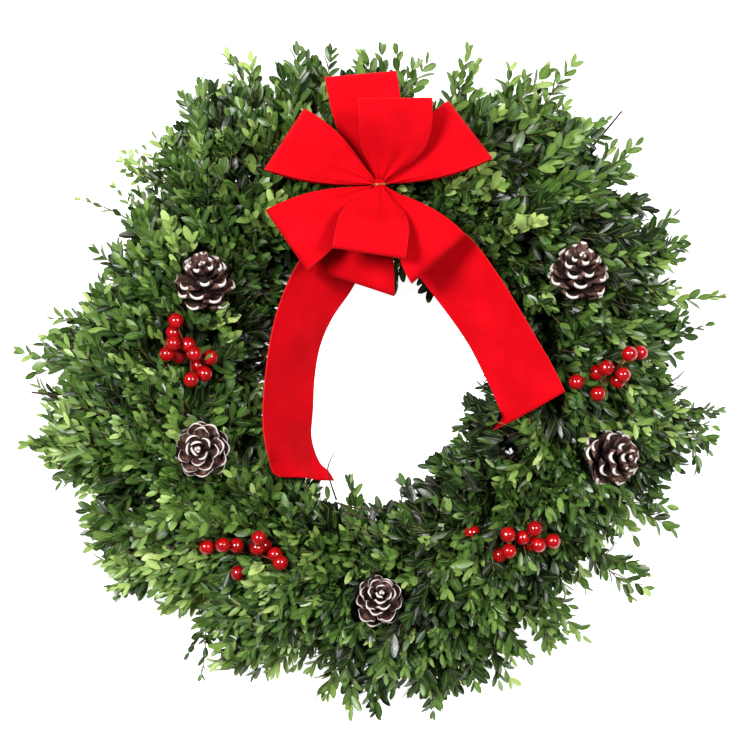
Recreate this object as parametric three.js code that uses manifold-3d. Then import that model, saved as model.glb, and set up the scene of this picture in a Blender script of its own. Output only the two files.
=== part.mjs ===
// A boxwood wreath of the 24 inch class, lying on its wire ring and facing up, with its top towards +Y.
// Twelve bunches of boxwood are bound to the ring. They carry five pine cones, four berry picks and a bow.
import * as THREE from 'three';
import { mergeVertices } from 'three/addons/utils/BufferGeometryUtils.js';
import Module from 'manifold-3d';

const wasm = await Module();
wasm.setup();

// Driving dimensions, in millimetres and degrees.
const RING_RADIUS = 180;
const RING_WIRE = 4;
const CRIMP_LIFT = 2;
const BINDING_WIRE = 1.2;
const FIT_GAP = 0.3;

// The reach of each bunch's longest sprigs from the ring's centre, clockwise from the top.
const BUNCH_REACH = [293, 310, 298, 299, 290, 287, 284, 283, 295, 299, 288, 310];
const BUNCH_ANGLE = 360 / BUNCH_REACH.length;
const HOLE_RADIUS = 99;
const WEDGE_MARGIN = 0.25;
const LOWEST_LEAF = 2.5;

const LEAF_LENGTH = 44;
const LEAF_WIDTH = 20;
const LEAF_ANGLE = 45;
const SHINGLE_ROLL = 12;
const LEAF_SPACING = 23.5;
const LEAF_STEM = 2;
const LEAF_CURL = 1.5;
const RIB_WIDTH = 3;
const RIB_ROOT = 18;
const TIP_STEP = 7;
const BLADE = 0.9;

const CONE_LENGTH = 46;
const CONE_RADIUS = 25;
const CONE_TIERS = 6;
const SCALES_PER_TIER = 6;
const PICK_WIRE = 2;

const BERRY_RADIUS = 6.8;
const BERRY_STEM = 1.6;

const RIBBON_WIDTH = 61;
const RIBBON_THICKNESS = 1;
const NECK_WIDTH = 8;
const NECK_REACH = 10;
const KNOT = new THREE.Vector3(5, 168, 106);
const STRIP_STEP = 3;
const TAIL_DROP = 2;

const degrees = THREE.MathUtils.degToRad;
const UP = new THREE.Vector3(0, 0, 1);

// A repeatable source of numbers from 0 to 1.
function randomSource(seed) {
  let state = seed;
  return () => {
    state = (state + 0x6d2b79f5) | 0;
    let t = Math.imul(state ^ (state >>> 15), 1 | state);
    t = (t + Math.imul(t ^ (t >>> 7), 61 | t)) ^ t;
    return ((t ^ (t >>> 14)) >>> 0) / 4294967296;
  };
}

// A point given by its angle round the ring, its distance from the ring's axis and its height.
function polar(angle, radius, height) {
  return new THREE.Vector3(radius * Math.cos(degrees(angle)), radius * Math.sin(degrees(angle)), height);
}

// Solids and meshes

function solidOf(geometry) {
  const bare = geometry.clone();
  bare.deleteAttribute('normal');
  bare.deleteAttribute('uv');
  const merged = mergeVertices(bare, 1e-4);
  const vertProperties = new Float32Array(merged.getAttribute('position').array);
  const triVerts = new Uint32Array(merged.getIndex().array);
  return new wasm.Manifold(new wasm.Mesh({ numProp: 3, vertProperties, triVerts }));
}

// The largest body of a solid, without scraps that a bore cut loose.
function largestBody(solid) {
  return solid.decompose().reduce((largest, body) => (body.volume() > largest.volume() ? body : largest));
}

function geometryOf(solid) {
  const mesh = solid.getMesh();
  const geometry = new THREE.BufferGeometry();
  geometry.setAttribute('position', new THREE.BufferAttribute(mesh.vertProperties, 3));
  geometry.setIndex(new THREE.BufferAttribute(mesh.triVerts, 1));
  geometry.computeVertexNormals();
  return geometry;
}

// A closed solid through sections with equal numbers of points, capped at both ends or closed on itself.
// The faces of one side can be split along their other diagonal, so that a thin band's two faces split alike.
function loft(sections, closed, otherwiseSplit = -1) {
  const count = sections[0].length;
  const points = sections.flat();
  const faces = [];
  const last = closed ? sections.length : sections.length - 1;
  for (let s = 0; s < last; s++) {
    const here = s * count;
    const next = ((s + 1) % sections.length) * count;
    for (let p = 0; p < count; p++) {
      const q = (p + 1) % count;
      if (p === otherwiseSplit) faces.push(here + p, here + q, next + p, here + q, next + q, next + p);
      else faces.push(here + p, here + q, next + q, here + p, next + q, next + p);
    }
  }
  if (!closed) {
    const end = (sections.length - 1) * count;
    for (let p = 1; p < count - 1; p++) {
      faces.push(0, p + 1, p, end, end + p, end + p + 1);
    }
  }
  const geometry = new THREE.BufferGeometry().setFromPoints(points);
  geometry.setIndex(faces);
  return geometry;
}

// A round wire along a path, with the given number of sides.
function wire(path, thickness, sides, steps) {
  const shape = new THREE.Shape();
  for (let side = 0; side < sides; side++) {
    const turn = (2 * Math.PI * side) / sides;
    const x = (thickness / 2) * Math.cos(turn);
    const y = (thickness / 2) * Math.sin(turn);
    if (side === 0) shape.moveTo(x, y);
    else shape.lineTo(x, y);
  }
  shape.closePath();
  return new THREE.ExtrudeGeometry(shape, { steps, bevelEnabled: false, extrudePath: path });
}

function straightWire(from, to, thickness, sides) {
  return wire(new THREE.LineCurve3(from, to), thickness, sides, 1);
}

const wreath = new THREE.Group();

function addPiece(name, geometry, material) {
  const mesh = new THREE.Mesh(geometry, material);
  mesh.name = name;
  wreath.add(mesh);
}

const leafMaterial = new THREE.MeshStandardMaterial({ color: 0x42532d, roughness: 0.5, metalness: 0 });
const ringMaterial = new THREE.MeshStandardMaterial({ color: 0x35402f, roughness: 0.45, metalness: 0.6 });
const bindingMaterial = new THREE.MeshStandardMaterial({ color: 0x3f5a3a, roughness: 0.4, metalness: 0.5 });
const coneMaterial = new THREE.MeshStandardMaterial({ color: 0x4a2f2a, roughness: 0.8, metalness: 0 });
const pickMaterial = new THREE.MeshStandardMaterial({ color: 0x4b3a2c, roughness: 0.6, metalness: 0.3 });
const berryMaterial = new THREE.MeshStandardMaterial({ color: 0xc01018, roughness: 0.18, metalness: 0 });
const ribbonMaterial = new THREE.MeshStandardMaterial({ color: 0xee0c1b, roughness: 0.85, metalness: 0 });
const tieMaterial = new THREE.MeshStandardMaterial({ color: 0x9a8440, roughness: 0.35, metalness: 0.8 });

// Wire ring: six-sided wire with flats above and below, lifted at each binding where the wire is crimped.

const BINDING_ANGLE = -12.5;
const RING_STATIONS = [-15, -12.5, -10, 2.5];

function ringSection(angle, lift) {
  const corner = RING_WIRE / Math.sqrt(3);
  const section = [];
  for (let side = 0; side < 6; side++) {
    const turn = degrees(60 * side);
    const radius = RING_RADIUS + corner * Math.cos(turn);
    section.push(polar(angle, radius, RING_WIRE / 2 + lift + corner * Math.sin(turn)));
  }
  return section;
}

function wireRing() {
  const sections = [];
  for (let bunch = 0; bunch < BUNCH_REACH.length; bunch++) {
    for (const station of RING_STATIONS) {
      const lift = station === BINDING_ANGLE ? CRIMP_LIFT : 0;
      sections.push(ringSection(bunch * BUNCH_ANGLE + station, lift));
    }
  }
  return loft(sections.reverse(), true);
}

// Binding wire: one turn round each bunch's stems and the ring's crimp, then on beside the ring to the next.
// Each row is an angle from the bunch's middle, a radius and a height.
const BINDING_ROUTE = [
  [-13.8, 185.4, 2.6],
  [-13.6, 191.2, 14],
  [-13.4, 186, 26.2],
  [-13.1, 174, 26.2],
  [-12.8, 168.8, 14],
  [-12.6, 174.6, 1.4],
  [-12.5, 180, 1],
  [-12.1, 184.8, 1.4],
  [-3.6, 184.8, 2.4],
  [5.4, 184.8, 2.4],
];

// Sections of a closed wire through points, each turned square to the way the wire runs there.
function closedWire(points, thickness, sides) {
  const sections = points.map((point, i) => {
    const before = points[(i + points.length - 1) % points.length];
    const after = points[(i + 1) % points.length];
    const along = after.clone().sub(before).normalize();
    const outward = new THREE.Vector3(point.x, point.y, 0).normalize();
    if (Math.abs(outward.dot(along)) > 0.9) outward.copy(UP);
    const across = outward.addScaledVector(along, -outward.dot(along)).normalize();
    const upward = along.clone().cross(across);
    return Array.from({ length: sides }, (_, side) => {
      const turn = (2 * Math.PI * (side + 0.5)) / sides;
      return point
        .clone()
        .addScaledVector(across, (thickness / 2) * Math.cos(turn))
        .addScaledVector(upward, (thickness / 2) * Math.sin(turn));
    });
  });
  return loft(sections, true);
}

function bindingWire() {
  const points = [];
  for (let bunch = 0; bunch < BUNCH_REACH.length; bunch++) {
    for (const [angle, radius, height] of BINDING_ROUTE) {
      points.push(polar(bunch * BUNCH_ANGLE + angle, radius, height));
    }
  }
  return closedWire(points, BINDING_WIRE, 3);
}

addPiece('wire_ring', wireRing(), ringMaterial);
addPiece('binding_wire', bindingWire(), bindingMaterial);

// What lies on the foliage: each leaf keeps clear of these balls, given by a point and a radius.
const obstacles = [];

function keepClear(point, radius) {
  obstacles.push({ point: point.clone(), radius });
}

function keepClearAlong(from, to, radius) {
  const steps = Math.ceil(from.distanceTo(to) / radius);
  for (let step = 0; step <= steps; step++) {
    keepClear(from.clone().lerp(to, step / steps), radius);
  }
}

// Bow: four ribbon strips, each a closed band with a loop at either end, and the tails below them.
// A loop's bearing is its direction from the knot, its reach is the distance to its folded end, and its skew
// turns that end. Rise lifts the loop towards the viewer, and open is half the height of its hollow. Fan is
// how fast the ribbon widens from the knot, and round is how suddenly it comes to its full width.
const BOW_STRIPS = [
  [
    { bearing: 100, reach: 91, skew: -5, rise: 2, open: 8.5, fan: 1.2, round: 5 },
    { bearing: 258.8, reach: 86, skew: -7, rise: -3, open: 7.5, fan: 0.72, round: 3 },
  ],
  [
    { bearing: 30.5, reach: 88, skew: 7, rise: 18, open: 12, fan: 0.83, round: 3 },
    { bearing: 211.5, reach: 92, skew: 3, rise: 20, open: 11, fan: 0.81, round: 3 },
  ],
  [
    { bearing: 155.6, reach: 88, skew: -9, rise: 19, open: 12, fan: 0.82, round: 3 },
    { bearing: 307.5, reach: 81, skew: 4, rise: 19, open: 12, fan: 0.8, round: 3 },
  ],
  [
    { bearing: 79.4, reach: 70, skew: 11, rise: 43, open: 10, fan: 1.5, round: 5 },
    { bearing: 261.5, reach: 62, skew: 0, rise: 44, open: 9, fan: 1.6, round: 5 },
  ],
];
const LAYER_GAP = RIBBON_THICKNESS + 0.35;
const FATTEST = 0.76;
const LOOP_STATIONS = [0, 0.2, 0.46, FATTEST, 0.92, 1];
const SWELL = 1.6;
const RISE_EASE = 0.8;

// The ribbon's width at a distance from the knot, from the gathered neck to the full width at the folded end.
function easedWidth(distance, loop) {
  const fanned = (from) => {
    const wanted = (loop.fan * from) / RIBBON_WIDTH;
    return wanted / (1 + wanted ** loop.round) ** (1 / loop.round);
  };
  return distance === NECK_REACH ? NECK_WIDTH : (RIBBON_WIDTH * fanned(distance)) / fanned(loop.reach);
}

// A loop's station, from the neck at 0 to the folded end at 1: the ribbon's middle, its way across
// and its width.
function loopStation(loop, neckHeight, s, upper, sense) {
  const distance = NECK_REACH + s * (loop.reach - NECK_REACH);
  const neckGap = LAYER_GAP / 2;
  const opened = Math.sin((Math.PI / 2) * Math.min(1, s / FATTEST)) ** SWELL;
  let half = neckGap + (loop.open - neckGap) * opened;
  if (s > FATTEST) {
    const round = (s - FATTEST) / (1 - FATTEST);
    half = loop.open * Math.sqrt(Math.max(0, 1 - round * round));
  }
  const height = neckHeight + loop.rise * s ** RISE_EASE + (upper ? half : -half);
  const middle = polar(loop.bearing, distance, height);
  middle.x += KNOT.x;
  middle.y += KNOT.y;
  const across = polar(loop.bearing + 90 + loop.skew * s, sense, 0);
  return { middle, across, width: easedWidth(distance, loop) };
}

// A thin band through stations, lying square to its own path.
function ribbonBand(stations, closed) {
  const sections = stations.map((station, i) => {
    const before = stations[closed ? (i + stations.length - 1) % stations.length : Math.max(0, i - 1)];
    const after = stations[closed ? (i + 1) % stations.length : Math.min(stations.length - 1, i + 1)];
    const along = after.middle.clone().sub(before.middle).normalize();
    const face = along.cross(station.across).normalize();
    const corner = (side, top) =>
      station.middle
        .clone()
        .addScaledVector(station.across, (side * station.width) / 2)
        .addScaledVector(face, (top * RIBBON_THICKNESS) / 2);
    return [corner(-1, -1), corner(1, -1), corner(1, 1), corner(-1, 1)];
  });
  return loft(sections, closed, 2);
}

function keepClearOfRibbon(stations, radius) {
  for (let i = 0; i + 1 < stations.length; i++) {
    const from = stations[i];
    const to = stations[i + 1];
    for (const side of [-0.5, -0.3, -0.1, 0.1, 0.3, 0.5]) {
      const start = from.middle.clone().addScaledVector(from.across, side * from.width);
      const end = to.middle.clone().addScaledVector(to.across, side * to.width);
      keepClearAlong(start, end, radius);
    }
  }
}

function bowStrip(loops, level) {
  const neckHeight = KNOT.z + level * STRIP_STEP + LAYER_GAP / 2;
  const [first, second] = loops;
  const stations = [
    ...LOOP_STATIONS.map((s) => loopStation(first, neckHeight, s, true, 1)),
    ...LOOP_STATIONS.slice(0, -1).reverse().map((s) => loopStation(first, neckHeight, s, false, 1)),
    ...LOOP_STATIONS.map((s) => loopStation(second, neckHeight, s, false, -1)),
    ...LOOP_STATIONS.slice(0, -1).reverse().map((s) => loopStation(second, neckHeight, s, true, -1)),
  ];
  keepClearOfRibbon(stations, 5);
  return ribbonBand(stations, true);
}

BOW_STRIPS.forEach((loops, level) => {
  addPiece(`bow_strip_${level + 1}`, bowStrip(loops, level), ribbonMaterial);
});

// Tails: one length of ribbon under the strips. Each row is the ribbon's middle in X, Y and Z, its width
// and its tilt, which lifts the edge on the wreath's outer side.
const LEFT_TAIL = [
  [-59, -80, 56, 58, 38],
  [-66, -69, 61, 61, 45],
  [-73, -48, 68, 61, 50],
  [-74, -23, 72, 61, 47],
  [-72, 7, 74, 61, 48],
  [-67, 37, 76, 61, 47],
  [-57, 65, 80, 61, 42],
  [-41, 93, 87, 60, 34],
  [-25, 119, 94, 44, 20],
  [-10, 145, 100.4, 20, 8],
];
const RIGHT_TAIL = [
  [18, 152, 102.2, 20, 4],
  [37, 129, 99, 38, 14],
  [61, 106, 96, 60, 28],
  [84, 76, 93, 61, 30],
  [103, 47, 91, 61, 33],
  [117, 22, 89, 61, 30],
  [127, 2, 88, 61, 26],
  [136, -22, 86, 61, 24],
];

function tailStations(rows) {
  const middles = rows.map(([x, y, z]) => new THREE.Vector3(x, y, z));
  return rows.map(([, , , width, tilt], i) => {
    const before = middles[Math.max(0, i - 1)];
    const after = middles[Math.min(rows.length - 1, i + 1)];
    const along = after.clone().sub(before).normalize();
    const level = UP.clone().cross(along).normalize();
    return { middle: middles[i], across: level.applyAxisAngle(along, degrees(tilt)), width };
  });
}

function bowTails() {
  const left = tailStations(LEFT_TAIL);
  const right = tailStations(RIGHT_TAIL);
  const knot = {
    middle: new THREE.Vector3(KNOT.x, KNOT.y - 1, KNOT.z - TAIL_DROP),
    across: new THREE.Vector3(0, 1, 0),
    width: NECK_WIDTH,
  };
  const stations = [...left, knot, ...right];
  keepClearOfRibbon(stations, 6.5);
  return ribbonBand(stations, false);
}

addPiece('bow_tails', bowTails(), ribbonMaterial);

// Tie: a wire loop round the bow's neck, with a twisted leg that goes down into the top bunch.

const TIE_WIRE = 1.1;
const TIE_BEARING = 3.5;
const TIE_REACH = 12;
const TIE_LEG = 2.4;
const TIE_LEG_BOTTOM = 38;
const TIE_CORNER = 3;
const TIE_LOW = KNOT.z - TAIL_DROP - RIBBON_THICKNESS / 2 - 1;
const TIE_HIGH = KNOT.z + BOW_STRIPS.length * STRIP_STEP - 0.2;

function bowTie() {
  const side = (reach, height) => {
    const point = polar(TIE_BEARING, reach, height);
    return point.add(new THREE.Vector3(KNOT.x, KNOT.y, 0));
  };
  const flat = NECK_WIDTH / 2;
  const loop = [
    side(-flat, TIE_LOW),
    side(flat, TIE_LOW),
    side(TIE_REACH, TIE_LOW + TIE_CORNER),
    side(TIE_REACH, TIE_HIGH - TIE_CORNER),
    side(flat, TIE_HIGH),
    side(-flat, TIE_HIGH),
    side(-TIE_REACH, TIE_HIGH - TIE_CORNER),
    side(-TIE_REACH, TIE_LOW + TIE_CORNER),
  ];
  const top = new THREE.Vector3(KNOT.x, KNOT.y, TIE_LOW);
  const bottom = new THREE.Vector3(KNOT.x, KNOT.y, TIE_LEG_BOTTOM);
  keepClearAlong(top, bottom, 4);
  const leg = solidOf(straightWire(bottom, top, TIE_LEG, 6));
  return geometryOf(solidOf(closedWire(loop, TIE_WIRE, 4)).add(leg));
}

addPiece('bow_tie', bowTie(), tieMaterial);

// Pine cones: tiers of scales raised from one body, each tier turned by half a scale, on a wire pick.
// Place is the middle of the cone in X, Y and Z, and aim is the way its tip points.
const CONES = [
  { place: [-145, 84, 96], aim: [-0.05, 0.8, 0.6], foot: [-150, 66] },
  { place: [-147, -57, 92], aim: [-0.1, 0.05, 1], foot: [-152, -62] },
  { place: [174, 91, 96], aim: [0.12, 0.8, 0.6], foot: [172, 74] },
  { place: [203, -64, 90], aim: [0.72, 0.05, 0.69], foot: [187, -67] },
  { place: [3, -187, 92], aim: [0, 0, 1], foot: [3, -187] },
];
const PICK_BOTTOM = 28;
const PICK_LEAVE = 50;
const CONE_SOCKET = 9;
// How far the hollows between a tier's scales lie from the cone's axis, and how far its scales lift.
const HOLLOW_SHARE = 0.66;
const SCALE_LIFT = 1.25;
const HOLLOW_LIFT = 0.6;

// The cone's outer radius at the lip of a tier, from 0 at its foot to 1 at its tip.
function coneEnvelope(along) {
  return CONE_RADIUS * Math.sqrt(Math.max(0, 1 - ((along - 0.3) / 0.82) ** 2));
}

function pineCone() {
  const columns = 2 * SCALES_PER_TIER;
  const tierHeight = CONE_LENGTH / (CONE_TIERS + 0.8);
  const sections = [];
  for (let tier = 0; tier < CONE_TIERS; tier++) {
    const lip = coneEnvelope(tier / (CONE_TIERS - 1));
    const floor = tier * tierHeight;
    const under = [];
    const edge = [];
    for (let column = 0; column < columns; column++) {
      const turn = (360 * column) / columns;
      const isTip = (column + tier) % 2 === 0;
      under.push(polar(turn, 0.5 * lip, floor));
      const reach = isTip ? lip : HOLLOW_SHARE * lip;
      edge.push(polar(turn, reach, floor + (isTip ? SCALE_LIFT : HOLLOW_LIFT) * tierHeight));
    }
    sections.push(under, edge);
  }
  const socketRadius = PICK_WIRE / 2 + FIT_GAP;
  const socket = new THREE.CylinderGeometry(socketRadius, socketRadius, 2 * CONE_SOCKET, 6);
  socket.rotateX(Math.PI / 2);
  return geometryOf(solidOf(loft(sections, false)).subtract(solidOf(socket)));
}

// A pick's wire: straight up out of the bunch, round one bend and straight into the foot of its cone.
function pickPath(foot, base, aim) {
  const bottom = new THREE.Vector3(foot[0], foot[1], PICK_BOTTOM);
  const leave = new THREE.Vector3(foot[0], foot[1], PICK_LEAVE);
  const enter = base.clone().addScaledVector(aim, -2);
  const end = base.clone().addScaledVector(aim, CONE_SOCKET - 1);
  const handle = 0.4 * leave.distanceTo(enter);
  const firstHandle = leave.clone().addScaledVector(UP, handle);
  const secondHandle = enter.clone().addScaledVector(aim, -handle);
  const path = new THREE.CurvePath();
  path.add(new THREE.LineCurve3(bottom, leave));
  path.add(new THREE.CubicBezierCurve3(leave, firstHandle, secondHandle, enter));
  path.add(new THREE.LineCurve3(enter, end));
  return path;
}

// The plain holes that picks and the bow's leg stand in, each a foot, a bottom and a thickness.
const holes = [{ x: KNOT.x, y: KNOT.y, bottom: TIE_LEG_BOTTOM, thickness: TIE_LEG }];

const coneGeometry = pineCone();
CONES.forEach(({ place, aim, foot }, i) => {
  const way = new THREE.Vector3(...aim).normalize();
  const middle = new THREE.Vector3(...place);
  const base = middle.clone().addScaledVector(way, -CONE_LENGTH / 2);
  const turn = new THREE.Quaternion().setFromUnitVectors(UP, way);
  const cone = new THREE.Mesh(coneGeometry, coneMaterial);
  cone.name = `pine_cone_${i + 1}`;
  cone.position.copy(base);
  cone.quaternion.copy(turn);
  wreath.add(cone);
  const path = pickPath(foot, base, way);
  addPiece(`cone_pick_${i + 1}`, wire(path, PICK_WIRE, 5, 6), pickMaterial);
  path.getSpacedPoints(16).forEach((point) => keepClear(point, 4));
  keepClear(base.clone().addScaledVector(way, CONE_LENGTH * 0.38), CONE_RADIUS + 2);
  keepClear(base.clone().addScaledVector(way, CONE_LENGTH * 0.7), CONE_RADIUS * 0.75);
  holes.push({ x: foot[0], y: foot[1], bottom: PICK_BOTTOM, thickness: PICK_WIRE });
});

// Berry picks: each is berries on stems from one hub, whose leg stands in a bunch.
// A berry's place is its X and Y from the middle of its pick, from the frontmost to the deepest.
const BERRY_PICKS = [
  {
    middle: [-159, 28],
    berries: [
      [-10, 25], [-13, 14], [19, -5], [3, -25], [-18, -3], [6, -3], [1, 5], [14, -20], [-8, -4],
    ],
  },
  {
    middle: [205, 10],
    berries: [[13, 15], [23, 16], [7, -3], [-14, -19], [-7, 3], [-32, -9], [-14, -1]],
  },
  {
    middle: [-109, -146],
    berries: [[-34, 6], [-20, 8], [11, 14], [29, -7], [-9, 7], [9, 5], [-4, -14]],
  },
  {
    middle: [120, -135],
    berries: [[-6, 6], [17, 11], [-5, -8], [20, -3], [33, 0], [7, 3], [-36, 7]],
  },
];
const BERRY_TOP = 101;
const BERRY_LOW = 84;
const HUB_HEIGHT = 76;
const STEM_STEP = 2.2;
const BERRY_SPACING = 2 * BERRY_RADIUS + 0.4;

// Each berry sits as high as it can without touching those before it.
function settledBerries([middleX, middleY], berries) {
  const settled = [];
  for (const [x, y] of berries) {
    const spread = Math.hypot(x, y);
    const place = new THREE.Vector3(middleX + x, middleY + y, BERRY_TOP - 0.25 * spread);
    while (place.z > BERRY_LOW && settled.some((other) => other.distanceTo(place) < BERRY_SPACING)) {
      place.z -= 1;
    }
    settled.push(place);
  }
  return settled;
}

function berryPick({ middle, berries }) {
  const [x, y] = middle;
  const hub = new THREE.Vector3(x, y, HUB_HEIGHT);
  const foot = new THREE.Vector3(x, y, PICK_BOTTOM);
  let pick = solidOf(straightWire(foot, hub.clone().setZ(HUB_HEIGHT + 1), PICK_WIRE, 6));
  keepClearAlong(foot, hub, 4);
  holes.push({ x, y, bottom: PICK_BOTTOM, thickness: PICK_WIRE });
  settledBerries(middle, berries).forEach((berry, i) => {
    const fork = hub.clone().setZ(HUB_HEIGHT - STEM_STEP * i);
    const ball = new THREE.SphereGeometry(BERRY_RADIUS, 6, 4);
    ball.rotateX(Math.PI / 2);
    ball.translate(berry.x, berry.y, berry.z);
    keepClearAlong(fork, berry, 3.2);
    keepClear(berry, BERRY_RADIUS + 1.5);
    pick = pick.add(solidOf(straightWire(fork, berry, BERRY_STEM, 3))).add(solidOf(ball));
  });
  return geometryOf(pick);
}

BERRY_PICKS.forEach((pick, i) => {
  addPiece(`berry_pick_${i + 1}`, berryPick(pick), berryMaterial);
});

// Bunches: a core of packed stems on the ring, with leafy sprigs standing out of it all round.

// The core's full section as radius and height, its neck where the binding grips the stems, and its far end.
const CORE_SECTION = [[158, 4.3], [202, 4.3], [213, 20], [196, 43], [166, 45], [150, 22]];
const NECK = { radius: 180, height: 15.6, size: 9 };
const CORE_STATIONS = [
  { angle: -14.7, neck: true },
  { angle: -12, neck: true },
  { angle: -11.3, grow: 0.9 },
  { angle: -9.4, grow: 1 },
  { angle: 9.5, grow: 1 },
  { angle: 14.3, grow: 0.85 },
];
const CORE_MIDDLE = [181, 25];
const HOLE_TOP = 70;

function bunchCore(middleAngle) {
  const sections = CORE_STATIONS.map(({ angle, neck, grow }) => {
    return CORE_SECTION.map(([radius, height]) => {
      const outward = radius - CORE_MIDDLE[0];
      const upward = height - CORE_MIDDLE[1];
      const size = Math.hypot(outward, upward);
      if (neck) {
        const r = NECK.radius + (NECK.size * outward) / size;
        return polar(middleAngle + angle, r, NECK.height + (NECK.size * upward) / size);
      }
      return polar(middleAngle + angle, CORE_MIDDLE[0] + grow * outward, CORE_MIDDLE[1] + grow * upward);
    });
  });
  return loft(sections.reverse(), false);
}

// One sprig's outline along X: a rib with opposite leaflets cut to it, and a leaflet at its tip.
// Each point is x, y and the leaflet's own tilt there.
function sprigSide(length, pairs, leaf) {
  const half = RIB_WIDTH / 2;
  const angle = degrees(LEAF_ANGLE);
  const along = new THREE.Vector2(Math.cos(angle), Math.sin(angle));
  const back = new THREE.Vector2(-Math.sin(angle), Math.cos(angle));
  const tipBase = length - leaf;
  const side = [[-RIB_ROOT, half, 0]];
  for (let pair = 0; pair < pairs; pair++) {
    const x = tipBase - TIP_STEP - (pairs - 1 - pair) * LEAF_SPACING;
    const at = (a, b, tilt) => [x + a * along.x + b * back.x, half + a * along.y + b * back.y, tilt];
    side.push([x - LEAF_STEM, half, 0]);
    side.push(at(0.42 * leaf, LEAF_WIDTH / 2, -1));
    side.push(at(leaf, 0, 0));
    side.push(at(0.5 * leaf, -LEAF_WIDTH / 2, 1));
    side.push([x + LEAF_STEM, half, 0]);
  }
  side.push([tipBase + 0.5 * leaf, LEAF_WIDTH / 2, 1]);
  return side;
}

// A sprig as one thin arched blade, split into triangles alike on both faces.
function sprigBlade({ length, pairs, leaf, droop, cup }) {
  const side = sprigSide(length, pairs, leaf);
  const mirrored = side.map(([x, y, lean]) => [x, -y, lean]).reverse();
  const outline = [...side, [length, 0, 0], ...mirrored];
  const flat = outline.map(([x, y]) => new THREE.Vector2(x, y)).reverse();
  const lean = outline.map((point) => point[2]).reverse();
  const height = flat.map((point, i) => {
    return cup * Math.abs(point.y) + LEAF_CURL * lean[i] - (droop * Math.max(0, point.x) ** 2) / length;
  });
  const faces = THREE.ShapeUtils.triangulateShape(flat, []);
  const count = flat.length;
  const top = flat.map((point, i) => new THREE.Vector3(point.x, point.y, height[i] + BLADE / 2));
  const bottom = flat.map((point, i) => new THREE.Vector3(point.x, point.y, height[i] - BLADE / 2));
  const index = [];
  for (const [a, b, c] of faces) {
    index.push(a, b, c, count + a, count + c, count + b);
  }
  for (let a = 0; a < count; a++) {
    const b = (a + 1) % count;
    index.push(a, count + a, count + b, a, count + b, b);
  }
  const geometry = new THREE.BufferGeometry().setFromPoints([...top, ...bottom]);
  geometry.setIndex(index);
  return geometry;
}

// Squeezes a value past the start of a margin so that it never passes the limit.
function easedLimit(value, start, limit) {
  if (value <= start) return value;
  return limit - (limit - start) * Math.exp(-(value - start) / (limit - start));
}

// Bends a sprig so that it stays in its bunch's wedge and above what the wreath lies on.
function bendIntoWedge(geometry, middleAngle) {
  const position = geometry.getAttribute('position');
  for (let i = 0; i < position.count; i++) {
    const radius = Math.hypot(position.getX(i), position.getY(i));
    const from = angleFrom(middleAngle, position.getX(i), position.getY(i));
    const limit = BUNCH_ANGLE / 2 - THREE.MathUtils.radToDeg(WEDGE_MARGIN / radius);
    const bent = Math.sign(from) * easedLimit(Math.abs(from), limit * 0.8, limit);
    const height = -easedLimit(-position.getZ(i), -LOWEST_LEAF - 6, -LOWEST_LEAF);
    const point = polar(middleAngle + bent, radius, height);
    position.setXYZ(i, point.x, point.y, point.z);
  }
  return geometry;
}

// The places on a face that are tested, as shares of its three corners.
const FACE_PLACES = [
  [1, 0, 0],
  [0.5, 0.5, 0],
  [0, 0.5, 0.5],
  [0.34, 0.33, 0.33],
  [0.66, 0.17, 0.17],
  [0.17, 0.66, 0.17],
];

function meetsObstacle(geometry) {
  const position = geometry.getAttribute('position');
  const index = geometry.getIndex();
  const corners = [new THREE.Vector3(), new THREE.Vector3(), new THREE.Vector3()];
  const point = new THREE.Vector3();
  for (let face = 0; face < index.count; face += 3) {
    corners.forEach((corner, k) => corner.fromBufferAttribute(position, index.getX(face + k)));
    for (const shares of FACE_PLACES) {
      point.set(0, 0, 0);
      shares.forEach((share, k) => point.addScaledVector(corners[k], share));
      if (obstacles.some((ball) => ball.point.distanceToSquared(point) < ball.radius ** 2)) return true;
    }
  }
  return false;
}

// Rows of sprigs in a bunch: root as radius and height, rise above the level, the lanes they take beside the
// bunch's middle, and their length where it doesn't come from the bunch's reach.
const ROWS = [
  { root: [198, 14], rise: -1, lanes: [-7.8], pairs: 2, leaf: LEAF_LENGTH },
  { root: [196, 26], rise: 13, lanes: [6.5], pairs: 2, leaf: LEAF_LENGTH },
  { root: [182, 36], rise: 26, lanes: [-8, 8], pairs: 2, leaf: 42, length: 88 },
  { root: [160, 34], rise: 44, lanes: [-6], pairs: 2, leaf: 42, length: 84 },
  { root: [168, 34], rise: 146, lanes: [4.5], pairs: 2, leaf: 40, inner: true },
  { root: [162, 14], rise: 176, lanes: [-4], pairs: 1, leaf: 36, inner: true },
];
// The ways a sprig is tried in turn: its lift and its yaw in degrees, and its size.
const SETTLING = [
  [0, 0, 1], [-8, 0, 1], [8, 0, 1], [0, 10, 1], [0, -10, 1], [-14, 0, 0.95], [-14, 16, 0.92],
  [-14, -16, 0.92], [-22, 0, 0.9], [-22, 24, 0.9], [-22, -24, 0.9], [-30, 0, 0.85],
  [-30, 32, 0.85], [-30, -32, 0.85], [-22, 0, 0.7], [-38, 20, 0.7], [-38, -20, 0.7],
  [-45, 40, 0.7], [-45, -40, 0.7], [-50, 0, 0.62],
];
const SPRIG_VARIES = 0.07;

function sprigLength(row, bunchIndex, random) {
  if (row.inner) return row.root[0] - HOLE_RADIUS - 4 * random;
  const vary = 1 - SPRIG_VARIES * random;
  if (row.length) return row.length * vary;
  return ((BUNCH_REACH[bunchIndex] - row.root[0]) / Math.cos(degrees(row.rise))) * vary;
}

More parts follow.
